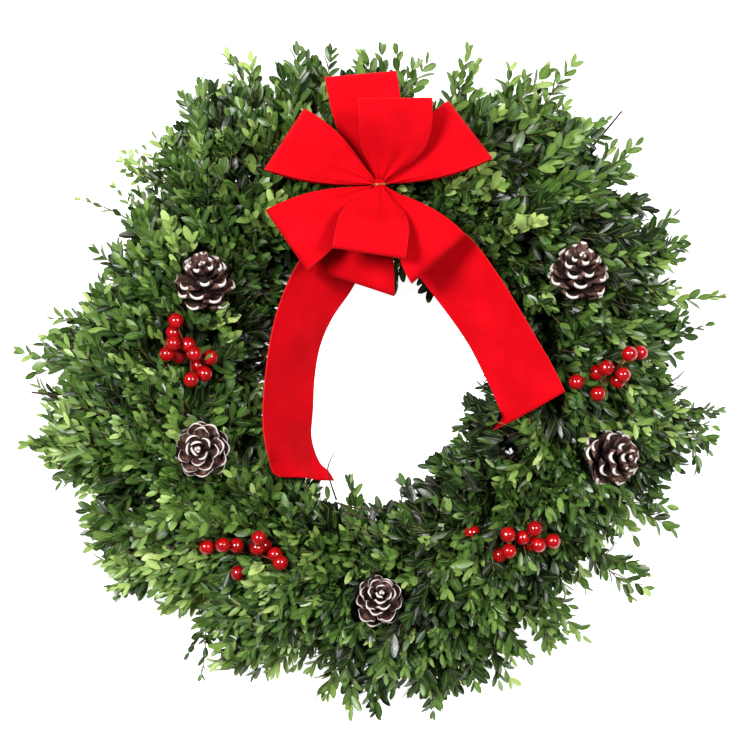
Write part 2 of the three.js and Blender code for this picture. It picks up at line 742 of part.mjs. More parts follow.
function placedSprig(shape, row, middleAngle, lane, draws, [lift, yaw, size]) {
  const angle = middleAngle + lane;
  const outwardLean = row.inner ? -1 : 1;
  const rise = row.rise + outwardLean * lift + 5 * draws.rise;
  const along = polar(angle, Math.cos(degrees(rise)), Math.sin(degrees(rise)));
  const across = polar(angle + 90, 1, 0);
  const face = along.clone().cross(across);
  const frame = new THREE.Matrix4().makeBasis(along, across, face);
  const length = shape.length * size;
  const pairs = size < 0.75 ? shape.pairs - 1 : shape.pairs;
  const blade = sprigBlade({ ...shape, length, pairs, leaf: shape.leaf * Math.sqrt(size) });
  blade.rotateX(degrees(SHINGLE_ROLL + 4 * draws.roll));
  blade.rotateZ(degrees(yaw + 5 * draws.yaw));
  blade.applyMatrix4(frame);
  const root = polar(angle, row.root[0], row.root[1]);
  blade.translate(root.x, root.y, root.z);
  return bendIntoWedge(blade, middleAngle);
}

// A sprig is turned, lowered or shortened until it is clear of what lies on the foliage.
function settledSprig(row, bunchIndex, middleAngle, lane, random) {
  const draws = { roll: 2 * random() - 1, yaw: 2 * random() - 1, rise: 2 * random() - 1 };
  const shape = {
    length: sprigLength(row, bunchIndex, random()),
    pairs: row.pairs,
    leaf: row.leaf,
    droop: 0.1 + 0.14 * random(),
    cup: 0.12 + 0.2 * random(),
  };
  for (const settling of SETTLING) {
    const sprig = placedSprig(shape, row, middleAngle, lane, draws, settling);
    if (!meetsObstacle(sprig)) return sprig;
  }
  return null;
}

// An angle from a bunch's middle, from -180 to 180 degrees.
function angleFrom(middleAngle, x, y) {
  const angle = Math.atan2(y, x) * THREE.MathUtils.RAD2DEG;
  return THREE.MathUtils.euclideanModulo(angle - middleAngle + 180, 360) - 180;
}

function bunchHoles(middleAngle) {
  return holes.filter(({ x, y }) => Math.abs(angleFrom(middleAngle, x, y)) < BUNCH_ANGLE / 2);
}

function bunch(index) {
  const middleAngle = 90 - index * BUNCH_ANGLE;
  const random = randomSource(101 + index);
  let body = solidOf(bunchCore(middleAngle));
  for (const row of ROWS) {
    for (const lane of row.lanes) {
      const sprig = settledSprig(row, index, middleAngle, lane, random);
      if (sprig) body = body.add(solidOf(sprig));
    }
  }
  for (const { x, y, bottom, thickness } of bunchHoles(middleAngle)) {
    const radius = thickness / 2 + FIT_GAP;
    const depth = HOLE_TOP - bottom;
    const bore = new THREE.CylinderGeometry(radius, radius, depth, 6);
    bore.rotateX(Math.PI / 2);
    bore.translate(x, y, bottom - FIT_GAP + depth / 2);
    body = body.subtract(solidOf(bore));
  }
  return geometryOf(largestBody(body));
}

for (let index = 0; index < BUNCH_REACH.length; index++) {
  addPiece(`bunch_${String(index + 1).padStart(2, '0')}`, bunch(index), leafMaterial);
}

// The part's origin is the middle of the wreath's box, on the surface that it lies on.
const box = new THREE.Box3().setFromObject(wreath, true);
const middle = box.getCenter(new THREE.Vector3());
wreath.position.set(-middle.x, -middle.y, -box.min.z);

const part = new THREE.Group();
part.add(wreath);

export default part;
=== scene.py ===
"""A boxwood wreath with pine cones, berry picks and a velvet bow, lying face up, seen from straight above.

Lengths are in millimetres from the ring's centre until Batch.build() turns them into the frame's metres.
Those of materials, floor, lights and camera are in metres.
"""

import math

import bpy
import numpy as np
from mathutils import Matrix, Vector


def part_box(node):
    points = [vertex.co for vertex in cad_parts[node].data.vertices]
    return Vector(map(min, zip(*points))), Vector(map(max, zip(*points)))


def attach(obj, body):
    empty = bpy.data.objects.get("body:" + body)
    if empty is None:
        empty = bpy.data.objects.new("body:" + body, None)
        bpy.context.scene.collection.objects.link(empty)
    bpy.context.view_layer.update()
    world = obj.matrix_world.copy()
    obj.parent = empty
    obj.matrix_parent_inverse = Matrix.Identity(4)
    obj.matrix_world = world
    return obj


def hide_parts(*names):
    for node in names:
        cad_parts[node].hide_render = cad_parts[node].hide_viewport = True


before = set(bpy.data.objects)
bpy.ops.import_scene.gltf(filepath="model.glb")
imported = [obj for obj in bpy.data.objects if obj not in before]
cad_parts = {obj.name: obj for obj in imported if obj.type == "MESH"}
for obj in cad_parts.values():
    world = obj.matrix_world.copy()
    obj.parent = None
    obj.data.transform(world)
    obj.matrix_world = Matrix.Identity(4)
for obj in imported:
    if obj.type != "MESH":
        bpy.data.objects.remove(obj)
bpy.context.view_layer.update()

CENTRE = np.mean(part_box("wire_ring"), axis=0) * [1, 1, 0]
UP = np.array([0.0, 0.0, 1.0])


def unit(v):
    v = np.asarray(v, float)
    return v / np.maximum(np.linalg.norm(v, axis=-1, keepdims=True), 1e-9)


def rows_of(*columns):
    """Rows of numbers from columns, where single numbers fill a column."""
    return np.stack(np.broadcast_arrays(*columns), axis=-1)


def polar(angle, radius, height):
    a = np.radians(angle)
    return rows_of(radius * np.cos(a), radius * np.sin(a), height)


def heading(angle):
    return polar(angle, 1.0, 0.0)


def without(v, direction):
    """The part of each vector that is square to a direction."""
    return v - direction * (v * direction).sum(-1, keepdims=True)


def ease(low, high, x):
    t = np.clip((np.asarray(x, float) - low) / (high - low), 0, 1)
    return t * t * (3 - 2 * t)


def spline(rows, count):
    """A smooth curve through rows of numbers, at count even steps of the row number."""
    rows = np.asarray(rows, float)
    padded = np.vstack([2 * rows[0] - rows[1], rows, 2 * rows[-1] - rows[-2]])
    at = np.linspace(0, len(rows) - 1, count)
    i = np.minimum(at.astype(int), len(rows) - 2)
    t = (at - i)[:, None]
    a, b, c, d = padded[i], padded[i + 1], padded[i + 2], padded[i + 3]
    return 0.5 * (2 * b + (c - a) * t + (2 * a - 5 * b + 4 * c - d) * t**2 + (3 * b - a - 3 * c + d) * t**3)


def loop_curve(rows, steps):
    """A smooth curve from the first row to just before the last. tubes() closes it with a straight line."""
    wrapped = np.vstack([rows[-2:], rows, rows[:3]])
    return spline(wrapped, steps * (len(wrapped) - 1) + 1)[2 * steps : -3 * steps - 1]


def travel(points, closed=False):
    """The unit direction of travel at each point of a path, or of many paths at once."""
    if closed:
        return unit(np.roll(points, -1, axis=-2) - np.roll(points, 1, axis=-2))
    return unit(np.gradient(points, axis=-2))


def run_along(path):
    """How far along the path each of its points lies."""
    return np.concatenate([[0], np.cumsum(np.linalg.norm(np.diff(path, axis=0), axis=1))])


def shares(count):
    """Even steps from 0 to 1, as a column."""
    return np.linspace(0, 1, count)[:, None]


# Meshes


def put(name, data):
    """Adds an object to the scene."""
    obj = bpy.data.objects.new(name, data)
    bpy.context.scene.collection.objects.link(obj)
    return obj


class Batch:
    """Gathers a piece's triangles, with a material number each, and its points, with a tone and a rim."""

    def __init__(self):
        self.points, self.faces, self.slots, self.tone, self.rim = [], [], [], [], []
        self.count = 0

    def add(self, points, triangles, material=0, tone=0.5, rim=0.0):
        points = np.asarray(points, float).reshape(-1, 3)
        triangles = np.asarray(triangles, int).reshape(-1, 3)
        self.points.append(points)
        self.faces.append(triangles + self.count)
        self.slots.append(np.full(len(triangles), material))
        self.tone.append(np.broadcast_to(tone, len(points)))
        self.rim.append(np.broadcast_to(rim, len(points)))
        self.count += len(points)

    def build(self, name, materials, replaced):
        """Makes the mesh that stands for a CAD node."""
        points, faces = np.vstack(self.points) * 0.001 + CENTRE, np.vstack(self.faces)
        mesh = bpy.data.meshes.new(name)
        mesh.vertices.add(len(points))
        mesh.vertices.foreach_set("co", points.ravel())
        mesh.loops.add(faces.size)
        mesh.loops.foreach_set("vertex_index", faces.ravel().astype(np.int32))
        mesh.polygons.add(len(faces))
        mesh.polygons.foreach_set("loop_start", np.arange(0, faces.size, 3, dtype=np.int32))
        mesh.polygons.foreach_set("material_index", np.concatenate(self.slots).astype(np.int32))
        for label, values in (("tone", self.tone), ("rim", self.rim)):
            attribute = mesh.attributes.new(label, "FLOAT", "POINT")
            attribute.data.foreach_set("value", np.concatenate(values).astype(np.float32))
        mesh.update(calc_edges=True)
        mesh.validate()
        mesh.shade_smooth()
        for material in materials:
            mesh.materials.append(material)
        obj = put(name, mesh)
        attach(obj, "root")
        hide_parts(replaced)
        return obj


def grid_triangles(rows, columns, wrap_rows=False, wrap_columns=False):
    """The triangles of a grid of points, joined to itself where it wraps."""
    r = np.arange(rows if wrap_rows else rows - 1)[:, None]
    c = np.arange(columns if wrap_columns else columns - 1)[None, :]
    r2, c2 = (r + 1) % rows, (c + 1) % columns
    a, b, d, e = r * columns + c, r * columns + c2, r2 * columns + c2, r2 * columns + c
    return np.concatenate([rows_of(a, b, d), rows_of(a, d, e)]).reshape(-1, 3)


def capped_tube(rows, sides):
    """The triangles of a tube, and of fans to the two end points that come after its own points."""
    s = np.arange(sides)
    after, last = (s + 1) % sides, (rows - 1) * sides
    start, end = rows_of(rows * sides, s, after), rows_of(rows * sides + 1, last + after, last + s)
    return np.concatenate([grid_triangles(rows, sides, wrap_columns=True)[:, ::-1], start, end])


def tubes(batch, paths, radii, sides=5, material=0, tone=0.5, closed=False):
    """Round stems along one path or many, with closed ends, or one wire that closes on itself."""
    paths = np.asarray(paths, float)
    if paths.ndim == 2:
        paths = paths[None]
    n, k, _ = paths.shape
    along = travel(paths, closed)
    reference = np.where(np.abs(along[:, :1, 2:]) > 0.8, np.array([1.0, 0.0, 0.0]), UP)
    side = np.zeros_like(paths)
    side[:, 0] = unit(np.cross(along[:, 0], reference[:, 0]))
    for i in range(1, k):
        side[:, i] = unit(without(side[:, i - 1], along[:, i]))
    top = np.cross(along, side)
    turn = np.broadcast_to(2 * np.pi * np.arange(sides) / sides, (n, k, sides))
    if closed:
        # The sections turn a little, so that the last one meets the first.
        last = without(side[:, -1], along[:, 0])
        drift = np.arctan2((last * top[:, 0]).sum(-1), (last * side[:, 0]).sum(-1))
        turn = turn - drift[:, None, None] * (np.arange(k) / k)[None, :, None]
    around = np.cos(turn)[..., None] * side[:, :, None] + np.sin(turn)[..., None] * top[:, :, None]
    rings = paths[:, :, None] + np.broadcast_to(radii, (n, k))[:, :, None, None] * around
    if closed:
        batch.add(rings, grid_triangles(k, sides, True, True)[:, ::-1], material, tone)
        return
    points = np.concatenate([rings.reshape(n, k * sides, 3), paths[:, :1], paths[:, -1:]], axis=1)
    faces = capped_tube(k, sides)[None] + (np.arange(n) * points.shape[1])[:, None, None]
    batch.add(points, faces, material, np.repeat(np.broadcast_to(tone, n), points.shape[1]))


# Materials


def set_inputs(made, **values):
    """Sets a node's inputs by their names, with _ for a blank."""
    for label, value in values.items():
        made.inputs[label.replace("_", " ")].default_value = value


def new_material(name, roughness, specular=0.5, **values):
    """A material and its tree."""
    material = bpy.data.materials.new(name)
    material.use_nodes = True
    shader = material.node_tree.nodes["Principled BSDF"]
    set_inputs(shader, Roughness=roughness, Specular_IOR_Level=specular, **values)
    return material, material.node_tree


def srgb(colour):
    """Blender's linear colour for an sRGB colour or one level of grey, from 0 to 255."""
    c = np.broadcast_to(colour, 3) / 255
    return (*np.where(c <= 0.04045, c / 12.92, ((c + 0.055) / 1.055) ** 2.4), 1)


def node(tree, kind, **settings):
    made = tree.nodes.new(kind)
    for key, value in settings.items():
        setattr(made, key, value)
    return made


def fed_node(tree, kind, values, places=(0, 1, 2), output=0, **settings):
    """A new node's output. Its inputs get numbers, sRGB colours or other nodes' outputs."""
    made = node(tree, kind, **settings)
    for value, place in zip(values, places):
        if isinstance(value, (int, float)):
            made.inputs[place].default_value = value
        elif isinstance(value, tuple):
            made.inputs[place].default_value = srgb(value)
        else:
            tree.links.new(value, made.inputs[place])
    return made.outputs[output]


def ramp(tree, factor, *stops):
    """A colour ramp. Each stop is a place from 0 to 1 and an sRGB colour or a level of grey."""
    made = node(tree, "ShaderNodeValToRGB")
    while len(made.color_ramp.elements) < len(stops):
        made.color_ramp.elements.new(0.5)
    for element, (place, colour) in zip(made.color_ramp.elements, stops):
        element.position = place
        element.color = srgb(colour)
    tree.links.new(factor, made.inputs["Fac"])
    return made.outputs["Color"]


def value_of(tree, label):
    return node(tree, "ShaderNodeAttribute", attribute_name=label).outputs["Fac"]


def noise(tree, scale, detail=3.0, roughness=0.55):
    made = node(tree, "ShaderNodeTexNoise")
    set_inputs(made, Scale=scale, Detail=detail, Roughness=roughness)
    tree.links.new(node(tree, "ShaderNodeTexCoord").outputs["Object"], made.inputs["Vector"])
    return made.outputs["Fac"]


def uneven_tone(tree, pattern, strength):
    """The tone, raised or lowered by a pattern by up to half the strength."""
    values = (pattern, strength, -strength / 2)
    change = fed_node(tree, "ShaderNodeMath", values, operation="MULTIPLY_ADD")
    return fed_node(tree, "ShaderNodeMath", (value_of(tree, "tone"), change), use_clamp=True)


def mix_colour(tree, factor, a, b):
    return fed_node(tree, "ShaderNodeMix", (factor, a, b), (0, 6, 7), 2, data_type="RGBA")


def paint(material, colour, relief=None, strength=0.0, depth=0.0, gloss=None):
    """Gives a material its colour, roughness and fine dents. Relief is their noise's scale and detail."""
    tree = material.node_tree
    shader = tree.nodes["Principled BSDF"]
    tree.links.new(colour, shader.inputs["Base Color"])
    if gloss:
        tree.links.new(gloss, shader.inputs["Roughness"])
    if relief:
        bump = node(tree, "ShaderNodeBump")
        set_inputs(bump, Strength=strength, Distance=depth)
        tree.links.new(noise(tree, *relief), bump.inputs["Height"])
        tree.links.new(bump.outputs["Normal"], shader.inputs["Normal"])
    return material


def wire_material(name, dark, light, mottling, relief, strength, **values):
    """Wire, bare or wrapped. Mottling is its colour's noise, as scale and detail."""
    material, tree = new_material(name, **values)
    skin = ramp(tree, noise(tree, *mottling), (0.35, dark), (0.65, light))
    return paint(material, skin, relief, strength, 0.0003)


# Tone runs from the darkest leaves to the youngest, and rim from 0 on the midrib to 1 at the margin.
# The tone set per sprig in bunch_piece also holds painted shade at its dark end and painted light at its
# light end.
material, tree = new_material("boxwood_leaf", 0.42, 0.37)
tone = uneven_tone(tree, noise(tree, 190.0), 0.22)
greens = [(14, 27, 6), (36, 61, 20), (68, 99, 37), (114, 143, 66), (164, 187, 106)]
blade = ramp(tree, tone, *zip((0.0, 0.25, 0.5, 0.75, 1.0), greens))
rib = ramp(tree, value_of(tree, "rim"), (0.0, 255), (0.1, 110), (0.2, 0))
colour = mix_colour(tree, rib, blade, mix_colour(tree, 0.24, blade, (190, 205, 135)))
gloss = ramp(tree, noise(tree, 60.0), (0.3, 134), (0.7, 176))
LEAF = paint(material, colour, (420.0, 2.0), 0.25, 0.0004, gloss)

# Tone runs from old brown wood to the green of a young shoot.
material, tree = new_material("boxwood_bark", 0.7, 0.3)
tone = uneven_tone(tree, noise(tree, 500.0, 4.0), 0.3)
stops = (0.0, (34, 26, 18)), (0.35, (78, 62, 40)), (0.65, (104, 106, 56)), (1.0, (150, 166, 92))
BARK = paint(material, ramp(tree, tone, *stops), (900.0, 3.0), 0.4, 0.0004)

# Rim is 1 on the ribbon's cut edges, where its pale backing shows.
sheen = dict(Sheen_Weight=0.08, Sheen_Roughness=0.5, Sheen_Tint=srgb((255, 40, 40)))
material, tree = new_material("velvet_ribbon", 0.9, 0.06, **sheen)
pile = ramp(tree, noise(tree, 38.0, 5.0), (0.3, (182, 1, 12)), (0.7, (203, 4, 19)))
edge = ramp(tree, value_of(tree, "rim"), (0.975, 0), (0.993, 90), (1.0, 160))
VELVET = paint(material, mix_colour(tree, edge, pile, (226, 66, 62)), (2600.0, 2.0), 0.25, 0.0003)

# Tone is 1 on the whitened lips, and rim runs from 0 at the core to 1 on a scale's outer part.
material, tree = new_material("cone_scale", 0.72, 0.25)
stops = (0.3, (32, 15, 14)), (0.5, (83, 53, 46)), (0.72, (154, 122, 110))
# Low rim, at the core and the scales' bases, darkens the wood to (24, 11, 10): partly the scales' darker
# bases, partly painted shade.
wood = mix_colour(tree, value_of(tree, "rim"), (24, 11, 10), ramp(tree, noise(tree, 170.0, 5.0), *stops))
tone = uneven_tone(tree, noise(tree, 230.0, 4.0, 0.7), 0.6)
colour = mix_colour(tree, ramp(tree, tone, (0.5, 0), (0.66, 255)), wood, (209, 200, 194))
SCALE = paint(material, colour, (700.0, 4.0), 0.5, 0.0006)

coat = dict(Coat_Weight=0.8, Coat_Roughness=0.02, Coat_IOR=1.7)
material, tree = new_material("berry_lacquer", 0.4, 0.08, **coat)
BERRY = paint(material, ramp(tree, noise(tree, 120.0), (0.3, (134, 0, 5)), (0.7, (178, 2, 10))))

# Paper or lacquer on thin wire, and bare wire.
WRAPPED = dict(mottling=(700.0, 3.0), relief=(1500.0, 3.0), strength=0.3, roughness=0.6, specular=0.3)
METAL = dict(mottling=(90.0, 5.0), relief=(1100.0, 3.0), strength=0.2, Metallic=0.85)

BERRY_STEM = wire_material("berry_stem", (92, 26, 18), (140, 52, 34), **WRAPPED)
PICK = wire_material("cone_pick_wrap", (58, 44, 30), (92, 74, 50), **WRAPPED)
RING_METAL = wire_material("ring_wire", (60, 74, 58), (104, 118, 98), roughness=0.42, **METAL)
BINDING_METAL = wire_material("binding_wire", (44, 78, 48), (84, 118, 80), roughness=0.35, **METAL)
TIE_METAL = wire_material("tie_wire", (120, 88, 40), (190, 152, 80), roughness=0.35, **METAL)

# Ring and binding wire

BUNCHES = 12
BUNCH_STEP = 30
RING_RADIUS = 180.0
RING_WIRE = 2.0
BINDING_WIRE = 0.6
BINDING_LOWEST = 0.7
# The ring is crimped up under each bunch's binding: the angle, half the length in degrees and the lift.
CRIMP_ANGLE, CRIMP_HALF, CRIMP_LIFT = -12.5, 2.5, 2.0
# The binding wire's way round one bunch and on to the next, as angle, radius and height.
BINDING_ROUTE = [
    [-13.8, 185.4, 2.6], [-13.6, 191.2, 14], [-13.4, 186, 26.2], [-13.1, 174, 26.2], [-12.8, 168.8, 14],
    [-12.6, 174.6, 1.4], [-12.5, 180, 1], [-12.1, 184.8, 1.4], [-3.6, 184.8, 2.4], [5.4, 184.8, 2.4],
]


def ring_piece():
    angles = np.arange(0, 360, 1.5)
    from_crimp = (angles - CRIMP_ANGLE + BUNCH_STEP / 2) % BUNCH_STEP - BUNCH_STEP / 2
    lift = CRIMP_LIFT * np.clip(1 - np.abs(from_crimp) / CRIMP_HALF, 0, 1) ** 0.8
    batch = Batch()
    tubes(batch, polar(angles, RING_RADIUS, RING_WIRE + lift), RING_WIRE, sides=14, closed=True)
    batch.build("ring", [RING_METAL], "wire_ring")


def binding_piece():
    rows = [polar(BUNCH_STEP * b + a, r, z) for b in range(BUNCHES) for a, r, z in BINDING_ROUTE]
    curve = loop_curve(rows, 4)
    curve[:, 2] = np.maximum(curve[:, 2], BINDING_LOWEST)
    batch = Batch()
    tubes(batch, curve, BINDING_WIRE, sides=8, closed=True)
    batch.build("binding", [BINDING_METAL], "binding_wire")


# Bow

RIBBON_WIDTH = 61.0
RIBBON_THICKNESS = 0.9
NECK_WIDTH = 7.0
NECK_REACH = 4.0
KNOT = np.array([5.0, 168.0, 106.0])
STRIP_STEP = 3.0
HALF_GAP = 0.675
# The share of a loop's reach where it stands fullest, before it folds back.
FATTEST = 0.78
RISE_EASE = 0.8
STRAIGHT_STATIONS, FOLD_STATIONS = 26, 8

# Each strip's two loops, lowest strip first: bearing, reach, turn and rise of the folded end, half the
# opening, how fast the ribbon fans out and how evenly, and how far the loop bends aside.
BOW_STRIPS = [
    [[100, 95, -5, 2, 8.5, 1.25, 5, 0], [258.8, 86, -7, -3, 7.5, 0.72, 3, 0]],
    [[30.5, 88, 7, 18, 12, 0.92, 3, 0], [211.5, 92, 3, 20, 11, 0.92, 3, 0]],
    [[155.6, 88, -9, 19, 12, 0.9, 3, 0], [307.5, 81, 4, 19, 12, 0.9, 3, 0]],
    [[79.4, 69, 11, 43, 10, 1.9, 5, -5], [261.5, 61, 0, 44, 9, 2.4, 5, 0]],
]


def fanned(distance, fan, power):
    wanted = fan * distance / RIBBON_WIDTH
    return wanted / (1 + wanted**power) ** (1 / power)


def loop_line(loop, neck, layer):
    """A loop's upper half, layer 1, or lower half, -1, from the neck to its folded end."""
    bearing, reach, skew, rise, opening, fan, power, bend = loop
    fold = np.radians(np.linspace(0, 90, FOLD_STATIONS + 1)[1:])
    s = np.concatenate([np.linspace(0, FATTEST, STRAIGHT_STATIONS), FATTEST + (1 - FATTEST) * np.sin(fold)])
    half = HALF_GAP + (opening - HALF_GAP) * np.sin(np.pi / 2 * np.clip(s / FATTEST, 0, 1)) ** 1.6
    half[STRAIGHT_STATIONS:] = opening * np.cos(fold)
    distance = NECK_REACH + s * (reach - NECK_REACH)
    height = neck + rise * s**RISE_EASE + layer * half
    aside = bend * np.sin(np.pi * s)
    middle = polar(bearing, distance, height) + heading(bearing + 90) * aside[:, None]
    middle[:, :2] += KNOT[:2]
    across = heading(bearing + 90 + skew * ease(0, 0.8, s))
    width = RIBBON_WIDTH * fanned(distance, fan, power) / fanned(reach, fan, power)
    return middle, across, np.maximum(width, NECK_WIDTH), np.full(len(s), layer)


def strip_stations(loops, level):
    """A strip's middles, ways across, widths and layers, out and back through both loops."""
    neck = KNOT[2] + level * STRIP_STEP + HALF_GAP
    lines = []
    for loop, sense in zip(loops, (1, -1)):
        out, back = loop_line(loop, neck, sense), loop_line(loop, neck, -sense)
        lines.append([np.concatenate([a, b[:-1][::-1]]) for a, b in zip(out, back)])
        lines[-1][1] *= sense
    return [np.concatenate(parts) for parts in zip(*lines)]


ACROSS = np.concatenate([[-1, -0.975], np.linspace(-0.9, 0.9, 17), [0.975, 1]])


ribbon_surfaces = []


def ribbon(batch, middle, across, width, closed, **folds):
    """A thin band through stations. Folds are each station's depth of pleats, sag and curl across the width,
    its slant along the ribbon, and how far its near edge runs out as a tongue."""
    pleats, sag, curl, slant, tongue = (
        np.broadcast_to(folds.get(kind, 0.0), len(middle))[:, None]
        for kind in ("pleats", "sag", "curl", "slant", "tongue")
    )
    along, across = travel(middle, closed), unit(across)
    face = unit(np.cross(along, across))
    u = ACROSS[None, :]
    depth = pleats * np.cos(3 * np.pi * u) + sag * (1 - u**2) + curl * np.sin(4.2 * u + 0.8)
    surface = middle[:, None] + across[:, None] * (u[..., None] * width[:, None, None] / 2)
    surface = surface + face[:, None] * depth[..., None] + along[:, None] * (slant * u)[..., None]
    run = tongue * np.clip(-u - 0.7, 0, 1) / 0.3
    surface = surface - (across - 0.3 * face)[:, None] * run[..., None]
    half = face[:, None] * RIBBON_THICKNESS / 2
    profile = np.concatenate([surface + half, (surface - half)[:, ::-1]], axis=1)
    n, m = len(middle), len(ACROSS)
    rim = np.tile(np.abs(np.concatenate([ACROSS, ACROSS[::-1]])), (n, 1))
    faces = [grid_triangles(n, 2 * m, wrap_rows=closed, wrap_columns=True)[:, ::-1]]
    if not closed:
        rim[[0, -1]] = 1.0
        k = np.arange(m - 1)
        back = 2 * m - 2 - k
        end = np.concatenate([rows_of(k, k + 1, back), rows_of(k, back, back + 1)])
        faces += [end, end[:, ::-1] + (n - 1) * 2 * m]
    batch.add(profile, np.concatenate(faces), rim=rim.ravel())
    ribbon_surfaces.append(surface)


def strip_piece(loops, level):
    middle, across, width, layer = strip_stations(loops, level)
    reach = np.hypot(*(middle[:, :2] - KNOT[:2]).T)
    depth = 1.1 if level == len(BOW_STRIPS) - 1 else 2.0
    pleats = depth * layer * (1 - ease(8, 58, reach))
    batch = Batch()
    ribbon(batch, middle, across, width, True, pleats=pleats)
    obj = batch.build(f"bow_loops_{level + 1}", [VELVET], f"bow_strip_{level + 1}")


# The tails' middle lines, as X, Y and height, then the width and how far the ribbon leans over, in degrees.
LEFT_TAIL = [
    [-58, -83, 55, 42, 38], [-68, -69, 60, 51, 45], [-74, -48, 68, 60, 50], [-74, -23, 72, 61, 47],
    [-72, 7, 74, 61, 48], [-67, 37, 76, 61, 47], [-57, 65, 80, 61, 42], [-41, 93, 87, 60, 34],
    [-25, 119, 94, 44, 20], [-10, 145, 100.4, 20, 8],
]
RIGHT_TAIL = [
    [18, 152, 102.2, 20, 4], [37, 129, 99, 38, 14], [61, 106, 96, 60, 28], [84, 76, 93, 61, 30],
    [103, 47, 91, 61, 33], [117, 22, 89, 61, 30], [128, 1, 88, 61, 26], [138, -22, 86, 61, 24],
]
LEFT_STATIONS, RIGHT_STATIONS = 70, 60
TAIL_KNOT = KNOT + [0, -1, -2]


def tail_stations(rows, count):
    rows = spline(rows, count)
    along = travel(rows[:, :3])
    level = unit(np.cross(UP, along))
    tilt = np.radians(rows[:, 4])[:, None]
    return rows[:, :3], level * np.cos(tilt) + np.cross(along, level) * np.sin(tilt), rows[:, 3]


def tails_piece():
    left, right = tail_stations(LEFT_TAIL, LEFT_STATIONS), tail_stations(RIGHT_TAIL, RIGHT_STATIONS)
    knot = TAIL_KNOT, [0, 1, 0], NECK_WIDTH
    middle, across, width = (np.concatenate([a, [b], c]) for a, b, c in zip(left, knot, right))
    from_left = run_along(middle)
    from_right = from_left[-1] - from_left
    from_knot = np.abs(from_left - from_left[LEFT_STATIONS])
    batch = Batch()
    ribbon(
        batch, middle, across, width, False,
        sag=1.4 * np.sin(from_left / 17.0) * ease(20, 60, from_knot),
        slant=20 * (1 - ease(0, 70, from_left)) - 4.5 * (1 - ease(0, 45, from_right)),
        curl=2.4 * (1 - ease(0, 38, from_left)) + 1.6 * (1 - ease(0, 30, from_right)),
        tongue=12 * (1 - ease(0, 7, from_right)),
    )
    obj = batch.build("bow_tails_ribbon", [VELVET], "bow_tails")


TIE_WIRE, TIE_TURN = 0.34, 3.5
LEG_WIRE, LEG_FOOT, LEG_TWIST = 0.55, 38.0, 46.0


def tie_piece():
    """Two turns of wire round the knot, and its two legs, twisted on each other, down to the ring."""
    flat, reach, low, high = 3.0, 6.5, KNOT[2] - 3.5, KNOT[2] + 11.8
    right = [(flat, low), (reach, low + 3), (reach, high - 3), (flat, high)]
    left = [(-x, z) for x, z in right[::-1]]
    rows = [polar(TIE_TURN, x, z) + [KNOT[0], KNOT[1], 0] for x, z in right + left]
    loop = loop_curve(rows, 6)
    batch = Batch()
    for shift in (-0.35, 0.35):
        tubes(batch, loop + [0, shift, 0], TIE_WIRE, sides=8, closed=True)
    t = np.linspace(0, 1, 90)
    height = LEG_FOOT + (low - LEG_FOOT) * t
    for phase in (0, math.pi):
        turn = LEG_TWIST * t + phase
        twist = rows_of(KNOT[0] + 0.6 * np.cos(turn), KNOT[1] + 0.6 * np.sin(turn), height)
        tubes(batch, twist, LEG_WIRE, sides=7)
    batch.build("tie", [TIE_METAL], "bow_tie")


# Pine cones

CONE_LENGTH = 46.0
CONE_REACH = 25.5
SCALE_COUNT = 29
GOLDEN_ANGLE = 137.508
CROWN_FROM = 0.76
CONE_TIP = np.array([0, 0, 35.0])
# Each cone's middle, spread, bareness, aim and the foot of its pick.
CONES = [
    ([-145, 88, 96], 1.06, 1.0, [-0.05, 0.8, 0.6], [-150, 66]),
    ([-147, -57, 92], 0.97, 0.1, [-0.1, 0.05, 1], [-152, -62]),
    ([175, 95, 96], 1.05, 1.0, [0.12, 0.8, 0.6], [172, 74]),
    ([203, -64, 90], 0.97, 0.6, [0.72, 0.05, 0.69], [187, -67]),
    ([4, -186, 90], 0.85, 0.1, [0.1, 0.38, 1], [3, -187]),
]


